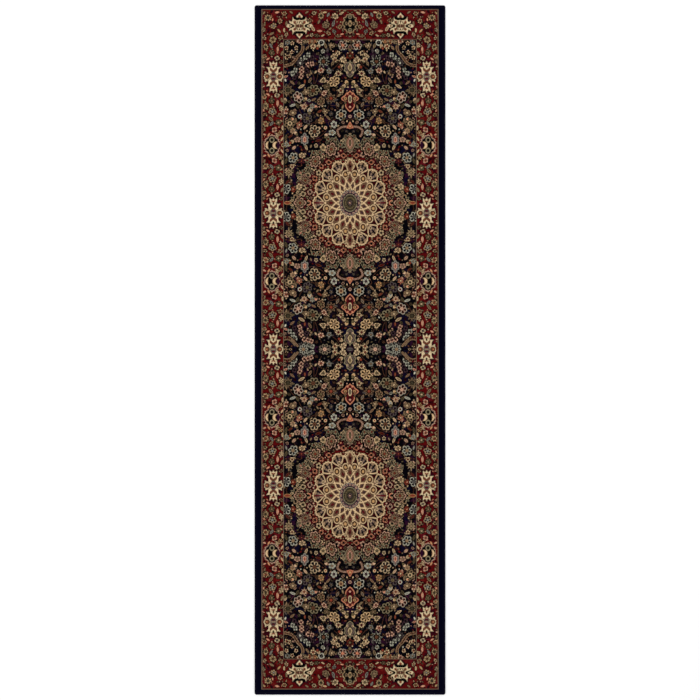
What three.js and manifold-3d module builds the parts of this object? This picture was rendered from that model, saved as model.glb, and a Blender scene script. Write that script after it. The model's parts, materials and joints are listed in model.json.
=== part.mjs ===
// Area rug: a machine-woven hall runner with a cut pile, a latex back coat and overcast edges.
// Millimetres, +Z up. The rug lies flat, its length along Y and its head end towards +Y.
// The origin is under the middle of the rug, on the face that lies on the floor.

import * as THREE from "three";
import { mergeVertices } from "three/addons/utils/BufferGeometryUtils.js";
import Module from "manifold-3d";

// ---------------------------------------------------------------- driving dimensions

const RUG_WIDTH = 787;
const RUG_LENGTH = 2845;
const CORNER_RADIUS = 8;

// Layers, from the floor up.
const COAT_THICKNESS = 0.8;
const CLOTH_THICKNESS = 2;
const PILE_HEIGHT = 8;

// Overcast edge: yarn wound round a cord and the edge of the cloth.
const OVERCAST_WIDTH = 9;
const OVERCAST_WALL = 1.2;
const OVERCAST_END_WALL = 3;
const CORD_DIAMETER = 4;

// Width of each design zone, counted inwards from the outside edge of the rug.
const SIDE_BAND = 28;
const HEAD_BAND = 17;
const FOOT_BAND = 23;
const OUTER_GUARD = 4;
const SIDE_BORDER = 86;
const END_BORDER = 119;
const INNER_GUARD = 3;

// Medallions: a lobed rosette inside an oval halo, twice along the field.
const MEDALLION_PITCH = 1206;
const HALO_SIDE_MARGIN = 28;
const HALO_STRETCH = 1.12;
const HALO_WIDTH = 88;
const ROSETTE_LOBES = 16;
const ROSETTE_LOBE_DEPTH = 10;

// Clearance between neighbouring pieces.
const GAP = 0.3;

// Fineness of the round shapes.
const CORNER_STEPS = 8;
const ROUND_STEPS = 32;
const STEPS_PER_LOBE = 8;

// ---------------------------------------------------------------- heights

const CLOTH_BOTTOM = COAT_THICKNESS + GAP;
const CLOTH_TOP = CLOTH_BOTTOM + CLOTH_THICKNESS;
const PILE_BOTTOM = CLOTH_TOP + GAP;
const CORD_RADIUS = CORD_DIAMETER / 2;
const OVERCAST_HEIGHT = CORD_DIAMETER + 2 * (GAP + OVERCAST_WALL);
const CORD_INSET = OVERCAST_HEIGHT / 2;
const CLOTH_INSET = CORD_INSET + CORD_RADIUS + GAP;

// ---------------------------------------------------------------- zones

const evenInset = (distance) => ({ side: distance, head: distance, foot: distance });

const deeper = (inset, side, end) => ({
  side: inset.side + side,
  head: inset.head + end,
  foot: inset.foot + end,
});

const OVERCAST_INSET = evenInset(OVERCAST_WIDTH);
const BAND_INSET = { side: SIDE_BAND, head: HEAD_BAND, foot: FOOT_BAND };
const OUTER_GUARD_INSET = deeper(BAND_INSET, OUTER_GUARD, OUTER_GUARD);
const BORDER_INSET = deeper(OUTER_GUARD_INSET, SIDE_BORDER, END_BORDER);
const FIELD_INSET = deeper(BORDER_INSET, INNER_GUARD, INNER_GUARD);

// The rectangle that lies this far inside the outside edge of the rug.
function rectangle(inset, clearance = 0) {
  return {
    left: -RUG_WIDTH / 2 + inset.side + clearance,
    right: RUG_WIDTH / 2 - inset.side - clearance,
    foot: -RUG_LENGTH / 2 + inset.foot + clearance,
    head: RUG_LENGTH / 2 - inset.head - clearance,
  };
}

// ---------------------------------------------------------------- materials

const yarn = (color, roughness = 0.95) => () =>
  new THREE.MeshStandardMaterial({ color, roughness, metalness: 0 });

const navyPile = yarn(0x0b0d22);
const redPile = yarn(0x5a1417);
const tanPile = yarn(0x8c7a55);
const creamPile = yarn(0xcbb98c);
const maroonPile = yarn(0x3b1218);
const navyYarn = yarn(0x0c1020, 0.85);
const cordFibre = yarn(0xb8a888, 0.9);
const juteCloth = yarn(0xa48a5f);
const latexCoat = yarn(0xcdbf9f, 0.7);

// ---------------------------------------------------------------- solids

const wasm = await Module();
wasm.setup();

const rug = new THREE.Group();

function addPiece(name, geometry, material) {
  const mesh = new THREE.Mesh(geometry, material());
  mesh.name = name;
  rug.add(mesh);
  return mesh;
}

function toSolid(geometry) {
  const bare = geometry.clone();
  bare.deleteAttribute("normal");
  bare.deleteAttribute("uv");
  const merged = mergeVertices(bare, 1e-4);
  return new wasm.Manifold(
    new wasm.Mesh({
      numProp: 3,
      vertProperties: merged.attributes.position.array,
      triVerts: new Uint32Array(merged.index.array),
    }),
  );
}

function toGeometry(solid) {
  const mesh = solid.getMesh();
  const geometry = new THREE.BufferGeometry();
  geometry.setAttribute("position", new THREE.BufferAttribute(mesh.vertProperties, 3));
  geometry.setIndex(new THREE.BufferAttribute(mesh.triVerts, 1));
  geometry.computeVertexNormals();
  return geometry;
}

function boxBetween(area, bottom, top) {
  const width = area.right - area.left;
  const length = area.head - area.foot;
  const geometry = new THREE.BoxGeometry(width, length, top - bottom);
  geometry.translate(
    (area.left + area.right) / 2,
    (area.foot + area.head) / 2,
    (bottom + top) / 2,
  );
  return geometry;
}

function slab(shape, bottom, top) {
  const geometry = new THREE.ExtrudeGeometry(shape, {
    depth: top - bottom,
    bevelEnabled: false,
    curveSegments: CORNER_STEPS,
  });
  geometry.translate(0, 0, bottom);
  return geometry;
}

// ---------------------------------------------------------------- backing

function addBacking() {
  const coat = boxBetween(rectangle(OVERCAST_INSET, GAP), 0, COAT_THICKNESS);
  addPiece("latex_back_coat", coat, latexCoat);
  const cloth = boxBetween(rectangle(evenInset(CLOTH_INSET)), CLOTH_BOTTOM, CLOTH_TOP);
  addPiece("woven_ground_cloth", cloth, juteCloth);
}

// ---------------------------------------------------------------- overcast edges

// Plan outline of the whole rug, with its small round corners.
function rugOutline() {
  const { left, right, foot, head } = rectangle(evenInset(0));
  const r = CORNER_RADIUS;
  const shape = new THREE.Shape();
  shape.moveTo(left + r, foot);
  shape.lineTo(right - r, foot);
  shape.absarc(right - r, foot + r, r, -Math.PI / 2, 0, false);
  shape.lineTo(right, head - r);
  shape.absarc(right - r, head - r, r, 0, Math.PI / 2, false);
  shape.lineTo(left + r, head);
  shape.absarc(left + r, head - r, r, Math.PI / 2, Math.PI, false);
  shape.lineTo(left, foot + r);
  shape.absarc(left + r, foot + r, r, Math.PI, 1.5 * Math.PI, false);
  return shape;
}

// Section across an edge: x is the distance inwards from the outside edge, y is the height.
function overcastSection() {
  const r = OVERCAST_HEIGHT / 2;
  const shape = new THREE.Shape();
  shape.moveTo(OVERCAST_WIDTH, 0);
  shape.lineTo(OVERCAST_WIDTH, OVERCAST_HEIGHT);
  shape.lineTo(r, OVERCAST_HEIGHT);
  shape.absarc(r, r, r, Math.PI / 2, 1.5 * Math.PI, false);
  shape.closePath();
  return shape;
}

// Runs a section along Y, centred, at the left edge of a strip of rug that is `width` wide.
function runAlongLeft(shape, length, width) {
  const geometry = new THREE.ExtrudeGeometry(shape, {
    depth: length,
    bevelEnabled: false,
    curveSegments: ROUND_STEPS / 2,
  });
  geometry.rotateX(Math.PI / 2);
  geometry.translate(-width / 2, length / 2, 0);
  return geometry;
}

// The winding of one edge, as a solid: open towards the rug where the cloth enters it.
function overcastSolid(length, cavityLength, width) {
  const outside = toSolid(runAlongLeft(overcastSection(), length, width));
  const bore = new THREE.Shape();
  bore.absarc(CORD_INSET, CORD_INSET, CORD_RADIUS + GAP, 0, 2 * Math.PI, false);
  const cordWay = toSolid(runAlongLeft(bore, cavityLength, width));
  const slot = new THREE.Shape();
  slot.moveTo(CORD_INSET, CLOTH_BOTTOM - GAP);
  slot.lineTo(OVERCAST_WIDTH + GAP, CLOTH_BOTTOM - GAP);
  slot.lineTo(OVERCAST_WIDTH + GAP, CLOTH_TOP + GAP);
  slot.lineTo(CORD_INSET, CLOTH_TOP + GAP);
  slot.closePath();
  const clothWay = toSolid(runAlongLeft(slot, cavityLength, width));
  return outside.subtract(cordWay).subtract(clothWay);
}

function cordGeometry(length, width) {
  const geometry = new THREE.CylinderGeometry(CORD_RADIUS, CORD_RADIUS, length, ROUND_STEPS);
  geometry.translate(-width / 2 + CORD_INSET, 0, CORD_INSET);
  return geometry;
}

// The side windings run the whole length and are closed at both ends, which makes the corners.
function addSideEdges() {
  const cavityLength = RUG_LENGTH - 2 * OVERCAST_END_WALL;
  const rounded = toSolid(slab(rugOutline(), 0, OVERCAST_HEIGHT));
  const winding = overcastSolid(RUG_LENGTH, cavityLength, RUG_WIDTH).intersect(rounded);
  const cordLength = cavityLength - 2 * GAP;
  for (const [side, turn] of [["left", 0], ["right", Math.PI]]) {
    const edge = addPiece(`overcast_${side}`, toGeometry(winding), navyYarn);
    edge.rotation.z = turn;
    const cord = addPiece(`edge_cord_${side}`, cordGeometry(cordLength, RUG_WIDTH), cordFibre);
    cord.rotation.z = turn;
  }
}

// The end windings fit between the side windings.
function addEndEdges() {
  const length = RUG_WIDTH - 2 * (OVERCAST_WIDTH + GAP);
  const winding = overcastSolid(length, length + 2 * GAP, RUG_LENGTH);
  for (const [end, turn] of [["head", -Math.PI / 2], ["foot", Math.PI / 2]]) {
    const edge = addPiece(`overcast_${end}`, toGeometry(winding), navyYarn);
    edge.rotation.z = turn;
    const cord = addPiece(`edge_cord_${end}`, cordGeometry(length, RUG_LENGTH), cordFibre);
    cord.rotation.z = turn;
  }
}

// ---------------------------------------------------------------- pile

const pileBlock = (area) => boxBetween(area, PILE_BOTTOM, PILE_BOTTOM + PILE_HEIGHT);

// One zone of pile that frames the next: two long strips, and two short ones between them.
function addPileFrame(zone, outerInset, innerInset, material) {
  const outer = rectangle(outerInset, GAP);
  const inner = rectangle(innerInset);
  const strips = {
    left: { ...outer, right: inner.left },
    right: { ...outer, left: inner.right },
    head: { left: inner.left + GAP, right: inner.right - GAP, foot: inner.head, head: outer.head },
    foot: { left: inner.left + GAP, right: inner.right - GAP, foot: outer.foot, head: inner.foot },
  };
  for (const [place, area] of Object.entries(strips)) {
    addPiece(`pile_${zone}_${place}`, pileBlock(area), material);
  }
}

function medallionSizes() {
  const field = rectangle(FIELD_INSET);
  const haloHalfWidth = (field.right - field.left) / 2 - HALO_SIDE_MARGIN;
  const haloHalfLength = haloHalfWidth * HALO_STRETCH;
  const middle = (field.foot + field.head) / 2;
  return {
    halo: { halfWidth: haloHalfWidth, halfLength: haloHalfLength },
    rosette: { halfWidth: haloHalfWidth - HALO_WIDTH, halfLength: haloHalfLength - HALO_WIDTH },
    places: { head: middle + MEDALLION_PITCH / 2, foot: middle - MEDALLION_PITCH / 2 },
  };
}

// A closed outline round (0, y): an oval, cut into lobes where lobeDepth is more than 0.
function lobedOutline(Outline, size, y, lobeDepth, clearance) {
  const outline = new Outline();
  const steps = ROSETTE_LOBES * STEPS_PER_LOBE;
  for (let i = 0; i < steps; i++) {
    const angle = (2 * Math.PI * i) / steps;
    const bulge = Math.abs(Math.cos((angle * ROSETTE_LOBES) / 2));
    const cut = lobeDepth * (1 - bulge) - clearance;
    const px = (size.halfWidth - cut) * Math.cos(angle);
    const py = y + (size.halfLength - cut) * Math.sin(angle);
    if (i === 0) {
      outline.moveTo(px, py);
    } else {
      outline.lineTo(px, py);
    }
  }
  outline.closePath();
  return outline;
}

// Oval halo and lobed rosette of each medallion, and the field pile with room for both.
function addFieldAndMedallions() {
  const { halo, rosette, places } = medallionSizes();
  const { left, right, foot, head } = rectangle(FIELD_INSET, GAP);
  const field = new THREE.Shape();
  field.moveTo(left, foot);
  field.lineTo(right, foot);
  field.lineTo(right, head);
  field.lineTo(left, head);
  field.closePath();
  const top = PILE_BOTTOM + PILE_HEIGHT;
  for (const [place, y] of Object.entries(places)) {
    field.holes.push(lobedOutline(THREE.Path, halo, y, 0, GAP));
    const ring = lobedOutline(THREE.Shape, halo, y, 0, 0);
    ring.holes.push(lobedOutline(THREE.Path, rosette, y, ROSETTE_LOBE_DEPTH, GAP));
    addPiece(`pile_halo_${place}`, slab(ring, PILE_BOTTOM, top), maroonPile);
    const flower = lobedOutline(THREE.Shape, rosette, y, ROSETTE_LOBE_DEPTH, 0);
    addPiece(`pile_rosette_${place}`, slab(flower, PILE_BOTTOM, top), creamPile);
  }
  addPiece("pile_field", slab(field, PILE_BOTTOM, top), navyPile);
}

// ---------------------------------------------------------------- the rug

addBacking();
addSideEdges();
addEndEdges();
addPileFrame("band", OVERCAST_INSET, BAND_INSET, navyPile);
addPileFrame("outer_guard", BAND_INSET, OUTER_GUARD_INSET, tanPile);
addPileFrame("border", OUTER_GUARD_INSET, BORDER_INSET, redPile);
addPileFrame("inner_guard", BORDER_INSET, FIELD_INSET, tanPile);
addFieldAndMedallions();

export default rug;
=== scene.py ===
# %% [markdown]
# # A machine-woven hall runner
# This lesson finishes a long rug: a cut pile that carries a medallion pattern, the cloth it is
# woven into, the latex on its back and the navy yarn that is wound round its edges. The frame
# gives the size and place of every layer, and all of the looks are made here.

# %% Load the frame
import json
import math

import bpy
import numpy as np
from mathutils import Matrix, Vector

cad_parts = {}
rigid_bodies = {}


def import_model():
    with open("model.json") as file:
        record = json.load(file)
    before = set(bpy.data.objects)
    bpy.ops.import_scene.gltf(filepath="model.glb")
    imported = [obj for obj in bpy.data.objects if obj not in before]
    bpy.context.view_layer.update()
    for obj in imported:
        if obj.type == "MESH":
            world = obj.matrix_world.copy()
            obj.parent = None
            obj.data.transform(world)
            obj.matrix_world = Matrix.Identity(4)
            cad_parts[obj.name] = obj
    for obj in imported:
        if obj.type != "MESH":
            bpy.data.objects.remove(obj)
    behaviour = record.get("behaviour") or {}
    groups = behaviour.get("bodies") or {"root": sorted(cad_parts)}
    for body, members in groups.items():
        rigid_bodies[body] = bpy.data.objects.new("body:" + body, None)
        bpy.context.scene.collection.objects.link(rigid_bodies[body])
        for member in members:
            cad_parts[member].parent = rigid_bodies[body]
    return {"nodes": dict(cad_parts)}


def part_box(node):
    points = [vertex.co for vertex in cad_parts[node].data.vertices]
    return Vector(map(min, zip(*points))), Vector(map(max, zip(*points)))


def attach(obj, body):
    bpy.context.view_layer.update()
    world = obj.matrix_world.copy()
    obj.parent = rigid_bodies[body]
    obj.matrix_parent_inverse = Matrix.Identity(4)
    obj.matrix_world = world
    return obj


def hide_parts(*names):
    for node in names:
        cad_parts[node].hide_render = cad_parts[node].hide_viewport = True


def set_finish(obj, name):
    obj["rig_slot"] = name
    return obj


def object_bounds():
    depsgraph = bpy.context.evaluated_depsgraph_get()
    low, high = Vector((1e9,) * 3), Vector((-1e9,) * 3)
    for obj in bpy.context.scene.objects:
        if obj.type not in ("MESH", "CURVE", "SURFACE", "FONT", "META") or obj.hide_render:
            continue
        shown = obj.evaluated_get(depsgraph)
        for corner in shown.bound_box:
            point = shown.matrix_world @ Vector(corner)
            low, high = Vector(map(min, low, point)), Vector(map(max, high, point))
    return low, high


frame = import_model()
cad_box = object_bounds()
bpy.ops.object.select_all(action="DESELECT")
print("frame loaded:", len(frame["nodes"]), "nodes")

# %% [markdown]
# ## Measure the zones
# The pattern is woven in zones: a plain band, a thin guard stripe, the border, another guard
# stripe and the field. Each zone is a block of pile in the frame, so its edges are read from
# there instead of being written down twice. The design is the same in all four quarters of the
# rug, so a point of it is given in millimetres from the middle of the field.


# %% Zone edges
MM = 0.001
GUARD_GAP = 0.15
field_low, field_high = (np.array(corner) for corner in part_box("pile_field"))
design_centre = (field_low + field_high)[:2] / 2


def outer_edge(zone):
    """How far the outside of a zone lies from the middle of the field, across and along it."""
    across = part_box(f"pile_{zone}_right")[1][0] - design_centre[0]
    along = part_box(f"pile_{zone}_head")[1][1] - design_centre[1]
    return np.array([across, along]) / MM + GUARD_GAP


FIELD_EDGE = (field_high - field_low)[:2] / 2 / MM + GUARD_GAP
INNER_GUARD_EDGE, BORDER_EDGE, OUTER_GUARD_EDGE = (
    outer_edge(zone) for zone in ("inner_guard", "border", "outer_guard"))
print("field edge", FIELD_EDGE, "border edge", BORDER_EDGE)

# %% [markdown]
# ## Draw the weaver's cartoon
# A loom follows a cartoon, a grid in which each square says which yarn a tuft is cut from. The
# cartoon could be a picture, but a drawn pattern stays sharp at any size and keeps every flower
# as a short piece of code. One quarter is enough, because the loom mirrors it twice. The grid
# has two samples to a tuft each way, so that a slanting line isn't too rough.

# %% The cartoon's grid and the yarns
TUFT = 2.5
SAMPLE = TUFT / 2
BAND_ROOM = 40
QUARTER = OUTER_GUARD_EDGE + BAND_ROOM
ACROSS = np.arange(SAMPLE / 2, QUARTER[0], SAMPLE)
ALONG = np.arange(SAMPLE / 2, QUARTER[1], SAMPLE)
cartoon = np.zeros((len(ALONG), len(ACROSS), 3))
taken = np.zeros((len(ALONG), len(ACROSS)), bool)

YARN = {
    "band": (5, 5, 27), "night": (9, 6, 14), "black": (8, 5, 8), "navy": (17, 13, 35),
    "grape": (44, 18, 38), "dusk": (30, 18, 26), "plum": (52, 12, 24), "maroon": (52, 10, 15),
    "brick": (104, 30, 26), "red": (86, 16, 17), "wine": (92, 24, 30), "rust": (136, 64, 46),
    "salmon": (208, 132, 100), "pink": (208, 160, 132), "brown": (96, 62, 45),
    "olive": (106, 91, 65), "moss": (64, 57, 43), "sage": (152, 138, 108), "ash": (106, 86, 82),
    "tan": (152, 123, 93), "sand": (184, 150, 110), "gold": (190, 146, 98),
    "cream": (220, 186, 141), "ivory": (222, 196, 154), "white": (208, 202, 178),
    "ice": (146, 142, 128), "frost": (182, 178, 156), "slate": (92, 86, 80),
    "mauve": (74, 52, 58), "stripe": (104, 76, 58), "guard": (112, 94, 76),
}
YARN = {name: np.array(shade) / 255 for name, shade in YARN.items()}
print("cartoon of", cartoon.shape[1], "by", cartoon.shape[0], "samples,", len(YARN), "yarns")

# %% [markdown]
# Every motif is drawn the same way. It looks at the samples near its own place, measures how
# deep each one lies inside an outline, and dyes the rings of that depth one after the other.
# A place is a point and two signs, so that the same motif can be mirrored.


# %% Look at the samples near a motif, and dye them
def view(place, reach, turn=0.0):
    """The samples within reach of a place, and where they lie as the motif sees them."""
    x, y, mirror_x, mirror_y = place
    columns = slice(*np.searchsorted(ACROSS, (x - reach, x + reach)))
    rows = slice(*np.searchsorted(ALONG, (y - reach, y + reach)))
    across, along = np.meshgrid(mirror_x * (ACROSS[columns] - x), mirror_y * (ALONG[rows] - y))
    cos, sin = math.cos(math.radians(turn)), math.sin(math.radians(turn))
    return (rows, columns), across * cos + along * sin, along * cos - across * sin


SHADOW = 2.3
MARGIN = 0.4
NOWHERE = -9


def paint(spot, where, yarn):
    cartoon[spot][where] = YARN[yarn]


def dye(spot, depth, rings):
    """Dyes each ring: a ring is a yarn and the depth in millimetres at which it starts."""
    for yarn, start in rings:
        paint(spot, depth > start, yarn)
    taken[spot] |= depth > -SHADOW - MARGIN


# %% Outlines, as depth inside them
def disc(p, q, radius):
    return radius - np.hypot(p, q)


def oval(p, q, half_width, half_height):
    return (1 - np.hypot(p / half_width, q / half_height)) * min(half_width, half_height)


def petals(p, q, radius, count, seam=1.4):
    """Round petals, each a little apart from the next, and no two quite as long."""
    turns = np.arctan2(p, q) * count / (2 * math.pi)
    radius = radius * (1 + 0.09 * np.sin(2 * np.arctan2(p, q) + radius))
    off = np.abs((turns + 0.5) % 1 - 0.5)
    reach = np.hypot(p, q)
    between = reach * (0.5 - off) * 2 * math.pi / count - seam
    return np.minimum(radius * (1 - 1.1 * off ** 2) - reach, between)


def spikes(p, q, radius, count, cut):
    """Pointed petals with round hollows between them."""
    edge = np.abs(np.sin(np.arctan2(p, q) * count / 2))
    return radius * (1 - cut * edge) - np.hypot(p, q)


def blade(p, q, length, width):
    """A leaf with two pointed ends, from the origin along q."""
    half = length / 2
    bow = (half ** 2 + (width / 2) ** 2) / width
    return bow - np.hypot(np.abs(p) + bow - width / 2, q - half)


def trail(p, q, points, width):
    """A line through some points, and how far along it each sample lies."""
    near = np.full(p.shape, np.inf)
    run = np.zeros(p.shape)
    walked = 0.0
    for (x0, y0), (x1, y1) in zip(points, points[1:]):
        step = np.array([x1 - x0, y1 - y0])
        length = max(np.hypot(*step), 1e-6)
        share = np.clip(((p - x0) * step[0] + (q - y0) * step[1]) / length ** 2, 0, 1)
        off = np.hypot(p - x0 - share * step[0], q - y0 - share * step[1])
        run = np.where(off < near, walked + share * length, run)
        near = np.minimum(near, off)
        walked += length
    return width / 2 - near, run


def rounded(points, steps=4):
    """A smooth line through the points."""
    ends = [points[0], *points, points[-1]]
    line = []
    for a, b, c, d in zip(ends, ends[1:], ends[2:], ends[3:]):
        a, b, c, d = (np.array(point, float) for point in (a, b, c, d))
        for t in np.arange(steps) / steps:
            line.append(0.5 * (2 * b + (c - a) * t + (2 * a - 5 * b + 4 * c - d) * t ** 2
                               + (3 * b - a - 3 * c + d) * t ** 3))
    return [*line, np.array(points[-1], float)]


def figure(p, q, half_outline):
    """Depth inside an outline that is the same on both sides of the q axis."""
    p = np.abs(p)
    off = np.full(p.shape, np.inf)
    inside = np.zeros(p.shape, bool)
    for (x0, y0), (x1, y1) in zip(half_outline, half_outline[1:]):
        step_x, step_y = x1 - x0, y1 - y0
        length2 = max(step_x ** 2 + step_y ** 2, 1e-9)
        share = np.clip(((p - x0) * step_x + (q - y0) * step_y) / length2, 0, 1)
        off = np.minimum(off, np.hypot(p - x0 - share * step_x, q - y0 - share * step_y))
        if abs(step_y) > 1e-9:
            crosses = (y0 > q) != (y1 > q)
            inside ^= crosses & (p < x0 + step_x * (q - y0) / step_y)
    return np.where(inside, off, -off)

# %% [markdown]
# ## Small motifs
# Most of the field is filled with the same few things: round flowers, pointed flowers, leaves,
# buds and curls. Each is an outline with a thin light edge on a dark shadow, which is how a
# woven flower keeps its shape when a tuft is two and a half millimetres wide.


# %% Flowers, leaves, buds and curls
LARGE = 14
VEINED = 8.5


def ring(place, radius, edge, heart, rim=2.2):
    spot, p, q = view(place, radius + 4)
    dye(spot, disc(p, q, radius), [("black", -SHADOW), (edge, 0), (heart, rim)])


def bloom(place, radius, count, edge, petal, heart, turn=0.0):
    """A flower of round petals: a light edge with dark inside, and a heart of its own."""
    spot, p, q = view(place, radius + 4, turn)
    dye(spot, disc(p, q, radius), [("black", -SHADOW)])
    rim = min(2.3, radius * 0.19)
    if radius > LARGE:
        depth = petals(p, q, radius, count, seam=-1.1)
        dye(spot, depth, [(edge, 0), (petal, 2.2), ("black", 3.9)])
    else:
        dye(spot, petals(p, q, radius, count), [(edge, 0), (petal, rim), ("black", rim + 0.9)])
    core = radius * 0.34
    dye(spot, disc(p, q, core + 1.5), [("black", 0), (heart, 2.1), ("black", core * 0.8 + 1)])


def star(place, radius, points, edge, petal, heart, turn=0.0):
    """A flower of pointed petals."""
    spot, p, q = view(place, radius + 4, turn)
    dye(spot, spikes(p, q, radius, points, 0.45), [("black", -SHADOW), (edge, 0), (petal, 2.3),
                                                   ("black", 4.4)])
    dye(spot, disc(p, q, radius * 0.34), [("black", 0), (heart, 1.6)])


def leaf(place, length, width, turn, edge, body, vein="black"):
    """A leaf centred on its place; a turn of 0 points it along the rug, 90 across it."""
    spot, p, q = view(place, length / 2 + 4, turn)
    depth = blade(p, q + length / 2, length, width)
    dye(spot, depth, [("black", -SHADOW), (edge, 0), (body, 1.7)])
    if width > VEINED:
        paint(spot, (np.abs(p) < 0.9) & (depth > 2.2), vein)


def bud(place, radius, turn, edge, body, cup):
    """A closed flower that points along its turn, with a cup under it."""
    spot, p, q = view(place, radius * 1.6 + 4, turn)
    drop = blade(p, q + radius * 0.9, radius * 2.3, radius * 1.5)
    dye(spot, drop, [("black", -SHADOW), (edge, 0), (body, 1.9)])
    dye(spot, disc(p, q + radius * 0.6, radius * 0.55), [("black", -SHADOW), (cup, 0)])


def curl(place, radius, turn, yarn, width=4.0, sweep=110):
    """An arc of a circle that opens away from its turn."""
    spot, p, q = view(place, radius + width, turn)
    inside = np.abs(np.degrees(np.arctan2(p, q))) < sweep
    depth = np.where(inside, width / 2 - np.abs(np.hypot(p, q) - radius), NOWHERE)
    dye(spot, depth, [("black", -SHADOW), (yarn, 0)])


def crest(place, height, width, turn, *rings):
    """A palmette: a stepped fan on a narrow foot. The rings go inwards from its outline."""
    spot, p, q = view(place, max(height, width) * 0.6 + 4, turn)
    outline = [(0, -0.5), (0.13, -0.47), (0.2, -0.34), (0.4, -0.36), (0.46, -0.16), (0.38, -0.04),
               (0.5, 0.1), (0.4, 0.24), (0.24, 0.22), (0.2, 0.38), (0, 0.5)]
    outline = rounded([(x * width, y * height) for x, y in outline], 3)
    dye(spot, figure(p, q, outline), [("black", -SHADOW), *rings])


FROND_PITCH = 14.5


def frond(places, points, yarn, shade):
    """A chain of small open flowers along a curve, with a leaf on each side of each."""
    points = rounded(points, 6)
    walked = 8.0
    for here, there in zip(points, points[1:]):
        step = there - here
        walked += np.hypot(*step)
        if walked < FROND_PITCH:
            continue
        walked = 0.0
        bearing = math.degrees(math.atan2(step[0], step[1]))
        for u, v, mirror_x, mirror_y in places:
            place = (u + mirror_x * here[0], v + mirror_y * here[1], mirror_x, mirror_y)
            leaf(place, 27, 6, bearing + 70, yarn, shade)
            bloom(place, 9.6, 4, yarn, yarn, shade, bearing)


def spindle(place, length, width, turn, *rings):
    spot, p, q = view(place, length / 2 + 4, turn)
    dye(spot, blade(p, q + length / 2, length, width), rings)


def stroke(places, points, width, rings, beat=None):
    """A curved line through points given from its place; beat is a yarn dotted along it."""
    points = rounded(points)
    reach = max(np.hypot(*point) for point in points) + width
    for place in places:
        spot, p, q = view(place, reach)
        depth, run = trail(p, q, points, width)
        dye(spot, depth, rings)
        if beat:
            yarn, pitch, start = beat
            paint(spot, (depth > start) & (run % pitch < pitch * 0.42), yarn)


# %% [markdown]
# ## Where a motif goes
# The field repeats about each medallion's axis and about the middle line of the rug, the side
# border about each of its palmettes, and the end border about the middle line. So one row of
# a planting list makes two, four or six flowers in the quarter.

# %% Places in the field and the borders
MEDALLION = 603
SIDE_PALMETTES = (0, 562, 1123)
SIDE_END = 1232
NEAR = 60
BOTH, ENDWARDS, INWARDS = (1, -1), (1,), (-1,)


def in_field(u, v, sides=BOTH):
    """Places of a field motif, from the distances to the middle line and a medallion's axis."""
    places = []
    for side in sides:
        y = MEDALLION + side * v
        if -NEAR < y < FIELD_EDGE[1] + NEAR:
            places.append((u, y, 1, side))
            if u < NEAR:
                places.append((-u, y, -1, side))
    return places


def in_side(s, off):
    """Places in the side border, from the middle line and off from a palmette."""
    places = [(s, y + side * off, 1, side) for y in SIDE_PALMETTES for side in BOTH]
    return [place for place in places if -NEAR < place[1] < SIDE_END]


def in_end(s, y):
    """Places in the end border and its corner."""
    return [(s, y, 1, 1)] + ([(-s, y, -1, 1)] if s < NEAR else [])


def at_ends(u, v):
    return in_field(u, v, ENDWARDS)


def at_middle(u, v):
    return in_field(u, v, INWARDS)


def curve(points, sides=BOTH):
    """The places of a curve in the field, and its points as each of them sees it."""
    anchor = np.mean(points, axis=0)
    return in_field(*anchor, sides), [np.array(point) - anchor for point in points]


def plant(places, motif, *how):
    for place in places:
        motif(place, *how)


def read(rows):
    """The rows of a planting list, with semicolons between them, as words and numbers."""
    for row in rows.split(";"):
        yield [word if word.isalpha() else float(word) for word in row.split()]


def sow(where, rows):
    """Plants a list: a row names a motif and its place, and then its sizes and yarns."""
    motifs = {"ring": ring, "bloom": bloom, "star": star, "leaf": leaf, "bud": bud, "curl": curl}
    for name, u, v, *how in read(rows):
        plant(where(u, v), motifs[name], *how)


RNG = np.random.default_rng(16)


def nest(places, radius, shades, count=3):
    """Small leaves that look out from under a flower."""
    start = RNG.uniform(0, 360)
    for index in range(count):
        turn = start + 360 * index / count + RNG.uniform(-18, 18)
        edge, body = shades[RNG.integers(len(shades))]
        away = radius + 1.5
        step_x, step_y = away * math.sin(math.radians(turn)), away * math.cos(math.radians(turn))
        for x, y, mirror_x, mirror_y in places:
            leaf((x + mirror_x * step_x, y + mirror_y * step_y, mirror_x, mirror_y),
                 11 + radius * 0.25, 5.4, turn, edge, body)


# %% [markdown]
# ## The ground of each zone
# The grounds go first, in the order in which they cover each other.

# %% Grounds
OUT_X, OUT_Y = np.meshgrid(ACROSS, ALONG)


def beyond(edge):
    return (OUT_X > edge[0]) | (OUT_Y > edge[1])


def cloud(low, high, count, sizes, shades):
    """Patches of other yarns in a ground, so that it isn't one flat shade."""
    for index in range(count):
        x, y = RNG.uniform(low[0], high[0]), RNG.uniform(low[1], high[1])
        spot, p, q = view((x, y, 1, 1), sizes[1])
        patch = spikes(p, q, RNG.uniform(*sizes), 5, 0.5) > 0
        paint(spot, patch, shades[RNG.integers(len(shades))])


cartoon[:] = YARN["night"]
cloud((0, 0), FIELD_EDGE, 520, (7, 20), ("navy", "navy", "grape", "night", "dusk"))

# %% [markdown]
# ## The medallion
# The rosette has sixteen lobes round an eye, drawn on a circle and stretched a fifth along the
# rug. Folding the angle into one sixteenth draws every lobe at once. The halo round it is a
# dark red ground that ends in scrolls.

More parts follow.
